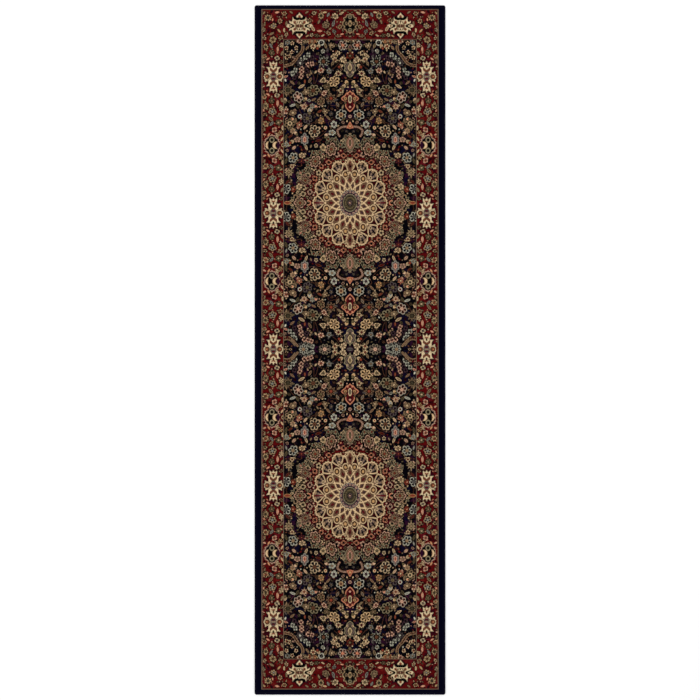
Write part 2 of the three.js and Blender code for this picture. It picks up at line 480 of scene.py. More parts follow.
# %% The halo's ground
STRETCH = 1.2
LOBES = 16
STEP = 2 * math.pi / LOBES
HALO_EDGE = rounded([(0, 283), (14, 268), (30, 262), (45, 250), (62, 264), (86, 268), (97, 258),
                     (100, 235), (115, 215), (136, 214), (156, 209), (165, 187), (182, 178),
                     (179, 150), (195, 133), (220, 122), (213, 104), (212, 62), (232, 30),
                     (244, 12), (243, 0)])
middle = (0, MEDALLION, 1, 1)
spot, p, q = view(middle, 305)
round_q = q / STRETCH
rho = np.hypot(p, round_q)
theta = np.arctan2(round_q, p)
edge_depth = figure(p, np.abs(q), HALO_EDGE)
dye(spot, edge_depth, [("black", -SHADOW), ("night", 0)])
dye(spot, 205 + 6 * np.cos(theta * LOBES) - rho, [("dusk", 0), ("maroon", 6)])
dye(spot, 188 + 5 * np.cos(theta * LOBES) - rho, [("wine", 0), ("plum", 5), ("maroon", 9),
                                                     ("red", 26)])

# %% [markdown]
# A wreath of two rows of leaves closes the halo. They lean in and out by turns along its
# outline.

# %% The wreath
LEAF_PITCH = 8.6
walked = 0.0
turn_by = 1
for here, there in zip(HALO_EDGE, HALO_EDGE[1:]):
    step = there - here
    walked += np.hypot(*step)
    if walked < LEAF_PITCH:
        continue
    walked = 0.0
    turn_by = (turn_by + 1) % 3
    inward = np.array([step[1], -step[0]]) / np.hypot(*step)
    bearing = math.degrees(math.atan2(step[0], step[1]))
    near, far = here + inward * 4, here + inward * 17
    plant(in_field(*far), leaf, 16, 7, bearing + (-50, 30, 80)[turn_by],
          ("cream", "pink", "cream")[turn_by], ("black", "rust", "black")[turn_by])
    plant(in_field(*near), leaf, 20, 8.4, bearing + (35, -20, 60)[turn_by],
          ("cream", "sage", "cream")[turn_by], ("black", "black", "moss")[turn_by])

# %% [markdown]
# The halo is full of small florets, salmon and pink near the rosette, and cream and sage near
# the wreath. Each one is put down at a seeded random point if nothing else is there yet, so
# the same rug is woven every time.

# %% Scatter the halo's florets
filled = np.zeros(cartoon.shape[:2], bool)
for size, tries in ((11.5, 900), (8.5, 1600), (5.6, 2600), (3.4, 2600), (2.3, 2600)):
    for index in range(tries):
        u, v = RNG.uniform(0, 235), RNG.uniform(0, 270)
        from_middle = math.hypot(u, v / STRETCH)
        near = 150 if size < 4 else 158 + size / 2
        if from_middle < near:
            continue
        if figure(np.array([u]), np.array([v]), HALO_EDGE)[0] < 18:
            continue
        gap, x, y = view((u, MEDALLION + v, 1, 1), size + 2)
        if filled[gap][disc(x, y, size + 2) > 0].any():
            continue
        filled[gap] |= disc(x, y, size + 2) > 0
        shades = ("salmon", "pink", "cream", "tan", "pink")
        if from_middle > 190 + RNG.uniform(-10, 10):
            shades = ("cream", "sage", "cream", "cream", "pink")
        edge = shades[RNG.integers(5)]
        body = ("black", "maroon", "black")[RNG.integers(3)]
        if size > 4:
            plant(in_field(u, v), bloom, size, 3 + (size > 8) + index % 2, edge, body, "black",
                  index)
        else:
            plant(in_field(u, v), ring, size, edge, edge)

# %% The sixteen palmettes of the halo
plant(in_field(0, 248), spindle, 70, 42, 0, ("black", -SHADOW), ("sage", 0), ("maroon", 2.6),
      ("tan", 6), ("wine", 9), ("pink", 12), ("black", 14.5), ("olive", 17.5))
for u, v, height, width, turn in [(77, 222, 56, 44, 14), (143, 172, 54, 42, 42),
                                  (206, 0, 52, 42, 90)]:
    plant(in_field(u, v), crest, height, width, turn, ("black", -5), ("pink", 0),
          ("black", 2.7), ("brown", 5))
    plant(in_field(u, v), bloom, 14, 8, "tan", "olive", "rust", turn)
sow(in_field, """
    star 184 93 26 8 pink brown olive; bloom 184 93 12 8 tan olive rust; curl 225 24 9 60 tan;
    curl 172 0 9 90 salmon; bloom 111 228 14 5 cream gold olive; bloom 140 236 8 5 cream ice olive
""")
for u, v, size in [(40, 240, 9), (60, 261, 9), (90, 263, 9), (124, 210, 8), (150, 208, 9),
                   (176, 176, 9), (174, 154, 8), (190, 131, 8), (166, 132, 6), (222, 60, 7),
                   (214, 84, 7), (18, 275, 6)]:
    plant(in_field(u, v), bloom, size + 1, 5, "sage", "moss", "rust", u * 5)

# %% The rosette's lobes
def around(start, distance):
    """Coordinates in the nearest of sixteen sectors, from a point at that distance."""
    off = (theta - start + STEP / 2) % STEP - STEP / 2
    return rho * np.sin(off), rho * np.cos(off) - distance


LOBE = rounded([(0, 32), (4, 26), (10, 28), (13, 22), (20, 22), (21, 14), (27, 9), (22, 1),
                (16, -7), (8, -15), (0, -25)])
lobe_p, lobe_q = around(0, 127)
lobe = figure(lobe_p, lobe_q, LOBE)
lobe = np.minimum(lobe, rho * STEP / 2 - np.abs(lobe_p) - 0.9)
dye(spot, 132 - rho, [("maroon", 0)])
dye(spot, lobe, [("black", -SHADOW), ("cream", 0), ("brown", 3.6), ("ash", 5)])
from_base = np.hypot(lobe_p, lobe_q + 22)
ray = np.sin(np.arctan2(lobe_p, lobe_q + 22) * 13 + math.pi / 2)
shell = (lobe > 5) & (from_base > 15)
paint(spot, shell & (from_base > 36), "tan")
paint(spot, shell & (ray > 0.35), "black")
paint(spot, shell & (ray < -0.75) & (from_base > 24), "tan")
paint(spot, (lobe > 4.4) & (np.abs(from_base - 33) < 1.3), "black")
dye(spot, disc(lobe_p, lobe_q + 6, 6), [("cream", 0), ("black", 2.4)])
paint(spot, (lobe > 6) & (np.abs(round_q) < 2.6) & (rho > 112), "wine")
tall = figure(p, np.abs(q) - 150, rounded([(0, 40), (3, 31), (10, 27), (12, 18), (20, 12),
                                           (17, -2), (12, -16), (9, -32)]))
tall = np.where(np.abs(q) > 118, tall, NOWHERE)
dye(spot, tall, [("black", -SHADOW), ("cream", 0), ("tan", 2.6), ("stripe", 6), ("black", 12)])
for step_out in (-18, -6, 6, 18):
    paint(spot, disc(p, np.abs(q) - 150 - step_out, 3.4) > 0, "wine")

# %% [markdown]
# Inside the lobes runs a lattice of pointed arches. It is two families of lines that lean
# against each other, half a lobe on from one tier to the next, with a spot in every opening.

# %% The rosette's lattice, eyes and middle
dye(spot, 110 - rho, [("stripe", 0)])
lean = np.interp(rho, (44, 58, 77, 106), (1.35, 1, 0.5, 0))
slants = [((theta / STEP + side * lean + 0.5) % 1 - 0.5) * STEP * rho for side in (-1, 1)]
arches = [np.where(rho < 107, 2.9 - np.abs(slant), NOWHERE) for slant in slants]
for start, yarn in ((-1.6, "maroon"), (0, "cream")):
    for arch in arches:
        paint(spot, arch > start, yarn)
for start, away, high, yarn in [(0, 79, 8, "wine"), (STEP / 2, 60, 6, "mauve"),
                                (0, 50, 4, "black"), (STEP / 2, 84, 3, "black")]:
    cell_p, cell_q = around(start, away)
    dye(spot, oval(cell_p, cell_q, high * 0.55, high), [("black", 0), (yarn, 1.1)])
dye(spot, disc(*around(STEP / 2, 99), 14), [("black", -1.6), ("cream", 0), ("brown", 3),
                                            ("black", 5.4), ("gold", 8.4)])
rim = 47 - 3 * np.abs(np.sin(theta * LOBES / 2)) - rho
dye(spot, rim, [("cream", -1.8), ("navy", 0), ("mauve", 4.5), ("navy", 11)])
for start, away, radius, rings in [
        (0, 38.5, 4.2, [("pink", 0), ("slate", 1.4)]), (STEP / 2, 43, 2.6, [("ice", 0)]),
        (0, 0, 30, [("sage", 0), ("moss", 2.2), ("olive", 9), ("moss", 13)]),
        (0, 22, 2.2, [("black", 0)]), (STEP / 2, 16, 1.8, [("moss", 0)]),
        (0, 0, 11, [("black", 0), ("ash", 2.4), ("black", 5), ("pink", 8.6)])]:
    dye(spot, disc(*around(start, away), radius), rings)

# %% [markdown]
# ## The field
# Round the medallions the field is a dark garden. A thin vine runs between the flowers, and
# each flower stands on its own shadow. The tall flowers on the middle line come first.

# %% The vine
VINE = [("brown", 0)]
for points in [
        [(0, 340), (18, 352), (20, 380), (52, 388), (58, 420), (48, 462), (20, 500), (0, 510)],
        [(58, 400), (84, 404), (98, 430), (92, 470), (104, 505), (88, 540), (60, 560), (40, 585)],
        [(88, 400), (110, 352), (150, 330), (176, 320), (186, 290), (160, 262), (120, 276),
         (96, 300)],
        [(176, 348), (200, 366), (212, 400), (196, 430), (170, 452), (140, 500), (130, 540),
         (118, 575)],
        [(152, 463), (150, 520), (166, 556), (150, 590)],
        [(212, 400), (238, 420), (252, 448), (250, 490), (228, 512), (206, 560)],
        [(209, 321), (236, 300), (250, 262), (236, 226), (222, 196), (236, 160), (256, 120)],
        [(236, 160), (204, 150), (196, 172), (180, 214), (186, 246)],
        [(256, 120), (240, 88), (240, 56), (262, 30), (258, 0)],
        [(40, 300), (70, 306), (90, 330), (60, 345), (37, 363)]]:
    stroke(*curve(points), 1.4, VINE)

# %% The flowers on the middle line
for place in in_field(0, 300):
    spot, p, q = view(place, 60)
    horn, run = trail(np.abs(p), q, rounded([(0, 10), (18, 14), (38, 10), (51, -1), (50, -14),
                                             (43, -25)]), 10)
    dye(spot, horn, [("black", -SHADOW), ("brown", 0), ("pink", 2.4), ("slate", 4)])
    paint(spot, (horn > 0) & (run % 6 < 1.6), "black")
    dye(spot, figure(p, q, [(0, 36), (15, 9), (0, 5)]), [("black", -SHADOW), ("salmon", 0),
                                                          ("rust", 3), ("gold", 6)])
sow(in_field, """
    ring 0 356 6.5 pink mauve; bloom 37 363 22 6 white navy tan; ring 37 363 9.5 sand brown 3
""")
SALMON_PALMETTE = rounded([(0, 35), (8, 28), (15, 26), (22, 16), (34, 7), (35, -1), (27, -8),
                           (19, -15), (20, -27), (15, -38), (7, -47), (0, -53)])
for place in in_field(0, 427):
    spot, p, q = view(place, 58)
    dye(spot, figure(p, q, SALMON_PALMETTE), [("black", -SHADOW), ("salmon", 0), ("maroon", 3.6),
                                              ("wine", 8), ("maroon", 12)])
    dye(spot, oval(p, q, 8, 16), [("cream", 0), ("slate", 2), ("olive", 5)])
    dye(spot, disc(np.abs(p) - 19, q - 3, 6), [("gold", 0), ("brown", 2.5)])
    dye(spot, disc(p, q + 32, 4), [("pink", 0)])
    dye(spot, disc(np.abs(p) - 9, q - 21, 3), [("salmon", 0)])
CROWN = rounded([(0, 39), (5, 29), (10, 26), (15, 33), (18, 23), (25, 16), (21, 5), (25, -6),
                 (16, -13), (13, -25), (6, -31), (0, -36)])
for place in in_field(0, 551):
    spot, p, q = view(place, 48)
    dye(spot, figure(p, q, CROWN), [("black", -SHADOW), ("sage", 0), ("moss", 2.6), ("ash", 6.5),
                                    ("moss", 10)])
    dye(spot, figure(p, q, [(0, 27), (9, 8), (6, -2), (0, -8)]), [("cream", 0), ("olive", 2.4)])
    dye(spot, disc(np.abs(p) - 11, q + 14, 4), [("cream", 0), ("maroon", 1.8)])

# %% [markdown]
# The rest of the garden is a list of plants: how far each stands from the middle line and
# from the medallion's axis, and then its size and yarns. The order doesn't matter much,
# because the plants hardly overlap.

# %% Round flowers
GREENS = [("tan", "olive"), ("olive", "moss"), ("tan", "brown"), ("pink", "rust"),
          ("brown", "rust"), ("cream", "tan"), ("slate", "mauve")]
for u, v, radius, count, edge, petal, heart in read("""
    37 462 11 5 cream tan rust; 66 500 23 7 cream gold tan; 48 533 12 8 cream pink wine;
    28 590 13 6 cream ice tan; 120 545 12 6 pink cream rust; 86 543 11 5 ice mauve tan;
    110 505 12 3 cream tan olive; 96 479 12 5 olive brown tan; 107 451 11 6 pink cream rust;
    120 418 17 6 tan brown olive; 152 463 25 7 sage olive brown; 181 457 13 5 tan olive cream;
    103 377 11 5 tan olive cream; 176 348 22 7 slate mauve olive; 119 338 13 6 gold rust tan;
    66 323 14 6 white navy mauve; 146 294 24 7 cream slate brown; 74 289 13 5 white navy tan;
    198 195 12 6 cream rust tan; 264 377 12 6 pink cream rust; 236 371 14 5 tan brown cream;
    248 327 22 7 tan olive moss; 217 261 12 5 pink mauve tan; 235 186 20 6 white navy tan;
    239 150 9 5 cream pink rust; 236 56 12 5 rust red salmon; 210 67 13 6 cream olive tan;
    264 57 20 6 white navy slate; 62 591 11 6 cream tan rust; 170 535 13 6 tan olive brown;
    214 436 22 6 frost rust pink; 248 90 9 5 tan cream wine
"""):
    nest(in_field(u, v), radius, GREENS)
    plant(in_field(u, v), bloom, radius, count, edge, petal, heart, u * 7 + v * 3)
print("field flowers cover", round(float(taken.mean()), 2), "of the quarter")

# %% Pointed flowers
for u, v, radius, tips, edge, petal, heart in read("""
    78 430 22 8 tan brown rust; 189 396 14 8 pink cream rust; 209 321 14 6 salmon red cream;
    236 297 13 6 cream rust tan; 252 125 18 8 cream olive tan; 256 465 22 8 tan olive moss;
    200 172 14 6 wine mauve rust; 261 241 12 6 frost slate tan; 155 398 12 6 frost slate tan
"""):
    nest(in_field(u, v), radius - 2, GREENS)
    plant(in_field(u, v), star, radius, tips, edge, petal, heart)
sow(in_field, """
    ring 207 356 8 white red 2.6; ring 101 309 6.5 cream rust 2.6; ring 248 327 9 cream moss 3
""")

# %% Leaves
sow(in_field, """
    leaf 45 443 20 8 50 tan olive; leaf 51 405 24 10 -30 tan slate;
    leaf 125 377 26 9 60 brown rust; leaf 139 335 24 9 20 brown moss;
    leaf 130 257 30 10 75 brown red; leaf 184 312 24 9 40 cream pink;
    leaf 181 229 26 9 -20 cream tan; leaf 236 402 28 9 70 white ice;
    leaf 217 399 24 9 -30 olive moss; leaf 264 269 26 9 10 olive moss;
    leaf 246 274 24 8 60 brown red; leaf 264 172 24 9 15 olive moss;
    leaf 263 197 22 8 -15 slate ice; leaf 258 86 26 9 40 brown wine;
    leaf 258 0 34 14 90 gold rust; leaf 200 480 30 10 60 cream tan;
    leaf 231 227 22 12 45 tan pink; leaf 93 604 24 9 -30 mauve slate;
    leaf 72 575 22 9 30 tan olive; leaf 224 340 20 7 0 tan moss; leaf 150 425 22 8 60 tan brown;
    leaf 134 362 18 7 -40 olive tan; leaf 30 395 22 8 20 olive tan;
    leaf 90 350 26 8 -45 tan brown; leaf 165 505 26 9 30 tan brown;
    leaf 86 455 18 7 0 olive moss; leaf 238 495 24 8 -50 tan brown;
    leaf 26 345 16 7 60 olive moss
""")

# %% Buds
sow(in_field, """
    bud 27 477 9 30 cream tan olive; bud 13 493 9 -20 cream gold olive;
    bud 40 563 9 60 cream tan rust; bud 167 376 11 0 cream ice olive;
    bud 242 250 9 60 cream tan rust; bud 100 275 8 20 cream pink olive;
    bud 222 285 8 -40 pink cream olive; bud 140 392 8 -10 pink salmon moss;
    bud 20 415 6 0 tan rust olive; bud 242 345 8 90 cream salmon olive;
    bud 268 420 9 0 cream tan olive; bud 186 425 8 40 cream gold olive
""")
plant(in_field(187, 263), crest, 52, 32, 0, ("ice", 0), ("mauve", 3), ("pink", 6.5), ("rust", 9.5))

# %% [markdown]
# A fan of feathery sprays fills each corner of the field, and another one lies across the
# middle of the rug on both sides. Beaded ribbons hold them together.

# %% The fans
HEARTS = {"mauve": "black", "frost": "slate", "pink": "wine"}
for sides, body, sprays in [
        (ENDWARDS, (206, 576),
         [((212, 552), (222, 530), (232, 512), "mauve"),
          ((190, 560), (180, 545), (176, 528), "mauve"),
          ((186, 582), (168, 590), (150, 602), "mauve"),
          ((223, 551), (234, 536), (253, 526), "frost"),
          ((200, 556), (200, 530), (206, 504), "pink"),
          ((178, 570), (160, 572), (142, 582), "pink"),
          ((200, 590), (184, 600), (162, 620), "frost")]),
        (INWARDS, (200, 590),
         [((212, 550), (222, 530), (232, 512), "mauve"),
          ((190, 552), (180, 540), (176, 524), "mauve"),
          ((190, 580), (170, 584), (150, 594), "frost"),
          ((223, 563), (236, 542), (253, 525), "frost"),
          ((201, 548), (203, 528), (209, 505), "pink"),
          ((195, 562), (170, 566), (142, 577), "pink")])]:
    for *points, yarn in sprays:
        frond(*curve(points, sides), yarn, HEARTS[yarn])
    plant(in_field(*body, sides), star, 18, 8, "slate", "mauve", "frost")
RIBBON = [("black", -SHADOW), ("tan", 0), ("brown", 2.4)]
for sides, width, points in [
        (ENDWARDS, 11, [(195, 650), (195, 634), (203, 618), (216, 605), (226, 588), (244, 571),
                        (276, 564)]),
        (INWARDS, 15, [(280, 562), (262, 557), (246, 560), (234, 570), (225, 582)]),
        (INWARDS, 8, [(240, 562), (228, 576), (216, 589)])]:
    stroke(*curve(points, sides), width, RIBBON, ("black", 8.5, 3))
sow(at_ends, """
    leaf 246 612 44 8 55 sand black; bloom 222 640 8 5 cream pink rust;
    bloom 240 622 8 5 cream pink rust; bloom 262 600 8 5 cream pink rust;
    bloom 238 660 8 5 cream pink rust; bloom 262 640 8 5 cream pink rust;
    bloom 250 605 8 5 cream pink rust; bloom 258 662 10 6 ice slate tan;
    star 109 583 25 8 frost moss brown
""")
sow(at_middle, """
    bloom 192 603 20 8 frost slate tan; bloom 104 603 24 9 sage mauve pink;
    bloom 266 580 5.5 4 cream pink rust; bloom 262 591 5.5 4 cream pink rust;
    bloom 265 603 5.5 4 cream pink rust; bloom 246 603 5.5 4 cream pink rust
""")

# %% Plants that only grow at the ends of the field
for u, v, radius, count, edge, petal, heart in read("""
    30 651 20 6 frost rust salmon; 75 650 12 6 tan olive cream; 156 667 17 8 gold rust tan;
    152 646 11 6 cream pink rust; 50 617 10 5 cream tan mauve; 186 664 9 5 tan olive cream;
    208 668 11 6 pink cream rust; 8 672 9 6 cream tan rust
"""):
    nest(at_ends(u, v), radius, GREENS)
    plant(at_ends(u, v), bloom, radius, count, edge, petal, heart, u * 7)
sow(at_ends, """
    ring 118 662 12 white navy 3; ring 118 662 5 black slate; star 0 606 19 6 rust maroon olive;
    bud 0 638 11 0 tan mauve olive; bud 132 643 9 30 cream tan rust;
    leaf 101 649 24 10 -20 tan olive; leaf 67 609 30 10 60 cream tan;
    leaf 93 630 24 9 10 mauve slate; leaf 176 640 22 8 40 tan brown
""")
sow(at_middle, "leaf 0 601 30 12 90 mauve slate")

# %% [markdown]
# The loom leaves no empty ground: small leaves and buds are tucked into every gap that is
# left. A gap is found by trying seeded points, and each plant claims its place.

# %% Tuck small plants into the gaps
PAIRS = [("tan", "olive"), ("olive", "moss"), ("pink", "rust"), ("cream", "tan"),
         ("brown", "rust"), ("slate", "mauve"), ("plum", "maroon"), ("wine", "red"),
         ("white", "white")]
ODDS = [0.12, 0.12, 0.1, 0.12, 0.15, 0.07, 0.12, 0.12, 0.08]
for radius, tries in ((8.5, 1600), (6.0, 2200), (4.2, 2600), (2.8, 1500)):
    for index in range(tries):
        x = RNG.uniform(2, FIELD_EDGE[0] - 2)
        v = RNG.uniform(110, 672)
        side = -1 if RNG.uniform() < 0.46 else 1
        y = MEDALLION + side * v
        if not 0 < y < FIELD_EDGE[1]:
            continue
        gap = view((x, y, 1, 1), radius + 0.5)[0]
        if taken[gap].any():
            continue
        edge, body = PAIRS[RNG.choice(9, p=ODDS)]
        places = in_field(x, v, BOTH if v < 590 else ENDWARDS)
        if radius > 3 and RNG.uniform() < 0.55:
            plant(places, leaf, radius * 2.2, radius, RNG.uniform(-90, 90), edge, body)
        elif radius > 3:
            plant(places, bloom, radius, 5, edge, body, "tan")
        else:
            plant(places, ring, radius - 0.6, edge, edge)
print("with the small plants", round(float(taken.mean()), 2), "of the quarter")

# %% [markdown]
# ## The borders
# The border's ground is madder red. Along the sides an ivory palmette and a dark cartouche take
# turns; the ends carry one palmette on each side of a cartouche. The guard stripes are plain
# tan, and the outermost band is plain navy.

# %% Guard stripes, border ground and band
outside = beyond(FIELD_EDGE)
taken[outside] = False
cartoon[outside] = YARN["guard"]
within = cartoon.copy()
cartoon[beyond(INNER_GUARD_EDGE)] = YARN["red"]
REDS = ("plum", "wine", "maroon", "brick")
cloud((INNER_GUARD_EDGE[0], 0), BORDER_EDGE, 300, (6, 14), REDS)
cloud((0, INNER_GUARD_EDGE[1]), BORDER_EDGE, 90, (6, 14), REDS)

# %% [markdown]
# The side palmette is an ivory body with four wings and a leafy crown at each end. Two chevrons
# and an oval core lie in the body, and a round lobe stands on each side of it.

# %% The side border's palmettes
PALMETTE = [(0, 42), (6, 43), (12, 40), (20, 38), (30, 40), (23, 33), (20, 28), (20, 16),
            (27, 17), (35, 21), (33, 12), (31, 8), (20, 5), (20, 0)]
PALMETTE_ROOM = [(0, 70), (18, 68), (19, 50), (33, 45), (28, 26), (41, 22), (43, 0)]
CROWN_LEAF = [(0, 66), (2.6, 57), (8, 55), (16, 63), (15, 54), (13, 44), (0, 40)]
for place in in_side(315, 0):
    spot, p, q = view(place, 76)
    q = np.abs(q)
    dye(spot, figure(p, q, PALMETTE_ROOM), [("plum", 0), ("maroon", 5)])
    dye(spot, figure(p, q, CROWN_LEAF), [("black", -1.5), ("ivory", 0)])
    dye(spot, figure(p, q, [(0, 50), (9, 54), (8, 48), (0, 43)]), [("brown", 0), ("rust", 1.6)])
    dye(spot, figure(p, q, PALMETTE), [("black", -1.6), ("ivory", 0)])
    dye(spot, disc(np.abs(p) - 25, q, 14.5), [("black", -1.4), ("ivory", 0), ("black", 3.4),
                                              ("brown", 5)])
    dye(spot, disc(np.abs(p) - 27, q, 5), [("rust", 0), ("gold", 2.6)])
    dye(spot, oval(p, q - 39, 3.6, 5), [("black", 0)])
    chevron = np.minimum(5.2 - np.abs(q - 20 - 0.85 * np.abs(p)) * 0.76, 15 - np.abs(p))
    dye(spot, chevron, [("black", 0), ("brown", 0.9), ("rust", 2.8), ("moss", 4.2)])
    dye(spot, oval(p, q, 13, 20), [("moss", 0), ("ash", 1.6), ("slate", 5.5)])
    dye(spot, oval(p, q - 9, 7.5, 4.4), [("plum", 0), ("wine", 1.8)])
    dye(spot, 1.3 - np.maximum(q, np.abs(p) - 8), [("sand", 0)])

# %% [markdown]
# The cartouche is dark, in a jagged outline, with two rings and two crescents in it.

# %% The side border's cartouches
CARTOUCHE = [(0, 46), (4, 41), (10, 40), (16, 41), (15, 34), (22, 28), (30, 25), (27, 18),
             (33, 15), (32, 0)]
for place in in_side(321, 281):
    spot, p, q = view(place, 56)
    dye(spot, figure(p, np.abs(q), CARTOUCHE), [("maroon", -1.6), ("pink", 0), ("ash", 2.2),
                                                ("black", 4)])
    dye(spot, oval(p + 26, q, 6, 16), [("grape", 0)])
    dye(spot, oval(p, np.abs(q) - 22, 10, 11.5), [("sage", 0), ("moss", 3.2), ("black", 5)])
    for near, reach, far, cut in ((9.5, 16.5, -20.4, 37.9), (-17, 14, -28, 14.5)):
        moon = np.minimum(disc(p - near, q, reach), -disc(p - far, q, cut))
        paint(spot, moon > -1.3, "brown")
        paint(spot, moon > 0, "cream")
    dye(spot, disc(p - 16, q, 2.6), [("brown", 0)])
sow(in_side, """
    bud 297 239 8 150 cream salmon salmon; leaf 283 228 22 7 -25 pink salmon;
    leaf 352 237 16 7 70 pink salmon; leaf 280 256 18 6 -30 cream salmon;
    ring 275 281 8 sand black 3
""")

# %% The side border's flowers
SPRIGS = [("salmon", "rust"), ("tan", "olive"), ("moss", "black"), ("plum", "black"),
          ("plum", "maroon"), ("pink", "salmon")]


def border_flowers(where, rows):
    """Flowers with two small leaves each: a row is a place, a size, petals and three yarns."""
    for s, t, radius, count, edge, petal, heart in read(rows):
        nest(where(s, t), radius - 2, SPRIGS, 2)
        plant(where(s, t), bloom, radius * 0.9, count, edge, petal, heart, s * 7 + t)


border_flowers(in_side, """
    300 76 11 4 cream ice slate; 353 83 11 6 sand rust rust; 322 98 13 5 olive moss tan;
    347 119 14 8 sand brown moss; 283 130 11 6 cream black cream; 319 142 17 5 sand slate ice;
    287 157 10 5 tan gold rust; 294 187 13 5 olive moss cream; 347 193 14 6 sand rust rust;
    311 217 12 4 pink salmon rust; 286 228 9 5 gold rust cream; 284 60 8 5 tan gold rust;
    349 156 9 5 sand olive brown; 355 62 7 4 pink salmon maroon
""")
sow(in_side, """
    leaf 298 108 28 10 0 salmon pink; leaf 325 173 26 10 40 tan olive;
    leaf 322 192 22 9 -40 ice slate; leaf 300 240 20 10 20 cream tan;
    leaf 337 73 18 7 60 salmon pink; leaf 278 209 20 7 0 cream tan;
    leaf 352 214 18 7 30 tan olive; leaf 334 238 18 7 -30 salmon gold;
    leaf 280 96 20 8 20 tan olive; leaf 283 180 14 6 60 tan gold; leaf 356 62 14 6 0 tan olive;
    leaf 355 138 14 6 30 salmon pink
""")

# %% The end border's palmettes and cartouche
END_PALMETTE = [(0, 22), (12, 21), (20, 23), (25, 28), (28, 36), (29, 22), (32, 14), (43, 20),
                (40, 11), (30, 8), (24, 0)]
END_ROOM = [(0, 57), (8, 54), (20, 40), (31, 39), (33, 24), (46, 23), (48, 10), (58, 0)]
ARROW = rounded([(0, 24), (4, 17), (12, 9), (12, 4), (6, 3), (0, 7)], 3)
FISH = [(0, 26), (7, 18), (6, 9), (0, 0)]
for place in in_end(208, 1334):
    spot, p, q = view(place, 64)
    p, q = np.abs(p), np.abs(q)
    dye(spot, figure(p, q, END_ROOM), [("plum", 0), ("black", 4)])
    dye(spot, figure(p, q - 29.5, ARROW), [("ivory", 0)])
    dye(spot, disc(p, q - 37, 5.5), [("brown", 0), ("rust", 2.4)])
    dye(spot, figure(p, q, END_PALMETTE), [("black", -1.6), ("ivory", 0)])
    dye(spot, oval(p - 30, q, 10, 7), [("black", 0)])
    dye(spot, figure(q, p - 30, FISH), [("black", -1.2), ("ivory", 0)])
    dye(spot, disc(p - 40, q, 3.8), [("brown", 0), ("rust", 1.8)])
    dye(spot, 7.5 - np.maximum(q, p - 11), [("tan", 0), ("olive", 1.5), ("brown", 4)])
    for away_p, away_q, half, high, yarn in [(5, 0, 2.2, 9, "plum"), (10, 14, 2.4, 5, "black"),
                                             (15, 9, 4, 2.2, "brown"), (0, 14, 2.4, 5, "moss"),
                                             (4, 17, 2, 2, "brown")]:
        dye(spot, oval(p - away_p, q - away_q, half, high), [(yarn, 0)])
    dye(spot, disc(p - 20, q - 14, 4.4), [("black", -1.4), ("rust", 0), ("brown", 2)])
    dye(spot, disc(p, q, 2), [("pink", 0)])
END_CARTOUCHE = rounded([(0, 42), (6, 36), (14, 36), (18, 26), (28, 22), (24, 12), (31, 6),
                         (31, 0)])
spot, p, q = view((0, 1343, 1, 1), 52)
dye(spot, figure(p, np.abs(q), END_CARTOUCHE), [("plum", -3), ("sand", 0), ("black", 2.6),
                                                ("moss", 5), ("black", 7)])
dye(spot, disc(p, np.abs(q) - 25, 7), [("sage", 0), ("moss", 2.4)])
dye(spot, oval(p, q, 7, 12), [("sand", 0), ("olive", 2.2), ("black", 4.6)])
dye(spot, disc(np.abs(p) - 15, q, 5.5), [("tan", 0), ("black", 2.2)])

# %% The end border's flowers and the corner
border_flowers(in_end, """
    119 1374 14 8 sand brown moss; 61 1372 14 6 cream slate olive;
    148 1385 9 6 cream slate black; 42 1330 10 6 sand rust rust; 99 1338 16 7 tan moss tan;
    88 1303 9 5 sand gold rust; 137 1294 9 5 olive moss tan; 65 1311 8 5 ice slate tan;
    49 1292 7 5 sand rust rust; 29 1314 4 4 cream cream tan; 337 1366 15 8 sand brown moss;
    314 1332 13 6 sand slate ice; 317 1275 15 6 sand olive brown; 285 1283 10 5 tan gold rust;
    281 1253 10 6 cream black cream; 347 1245 13 8 sand brown moss; 270 1383 10 6 sand rust rust;
    355 1316 9 5 sand slate ice; 352 1282 8 5 cream salmon maroon; 288 1352 11 6 sand rust rust;
    166 1356 9 5 tan gold rust; 262 1298 8 5 cream salmon rust; 14 1298 4 4 cream cream tan;
    158 1296 8 5 cream ice slate
""")
sow(in_end, """
    leaf 104 1388 18 7 80 cream gold; leaf 90 1378 20 8 30 ice slate;
    leaf 35 1384 22 8 60 cream olive; leaf 68 1343 26 10 20 ice slate;
    leaf 152 1322 22 11 -30 cream tan; leaf 125 1313 24 9 90 salmon pink;
    leaf 112 1294 16 6 60 cream tan; leaf 33 1300 18 6 80 salmon pink;
    leaf 297 1236 24 9 0 salmon pink; leaf 271 1316 18 8 0 cream tan;
    leaf 292 1312 22 8 -40 tan gold; leaf 300 1388 20 8 80 salmon pink;
    leaf 322 1300 22 8 60 tan olive; leaf 352 1340 20 8 20 tan olive;
    leaf 354 1386 16 7 45 tan gold; leaf 128 1350 18 7 30 tan olive;
    leaf 22 1395 14 6 80 tan olive; leaf 318 1358 14 6 10 salmon pink;
    leaf 325 1250 22 8 -30 ice slate; leaf 262 1344 18 7 10 tan olive;
    leaf 82 1322 16 6 50 tan olive; leaf 178 1388 16 6 60 tan olive;
    leaf 242 1388 16 6 -60 tan olive; leaf 176 1292 16 6 60 tan gold
""")

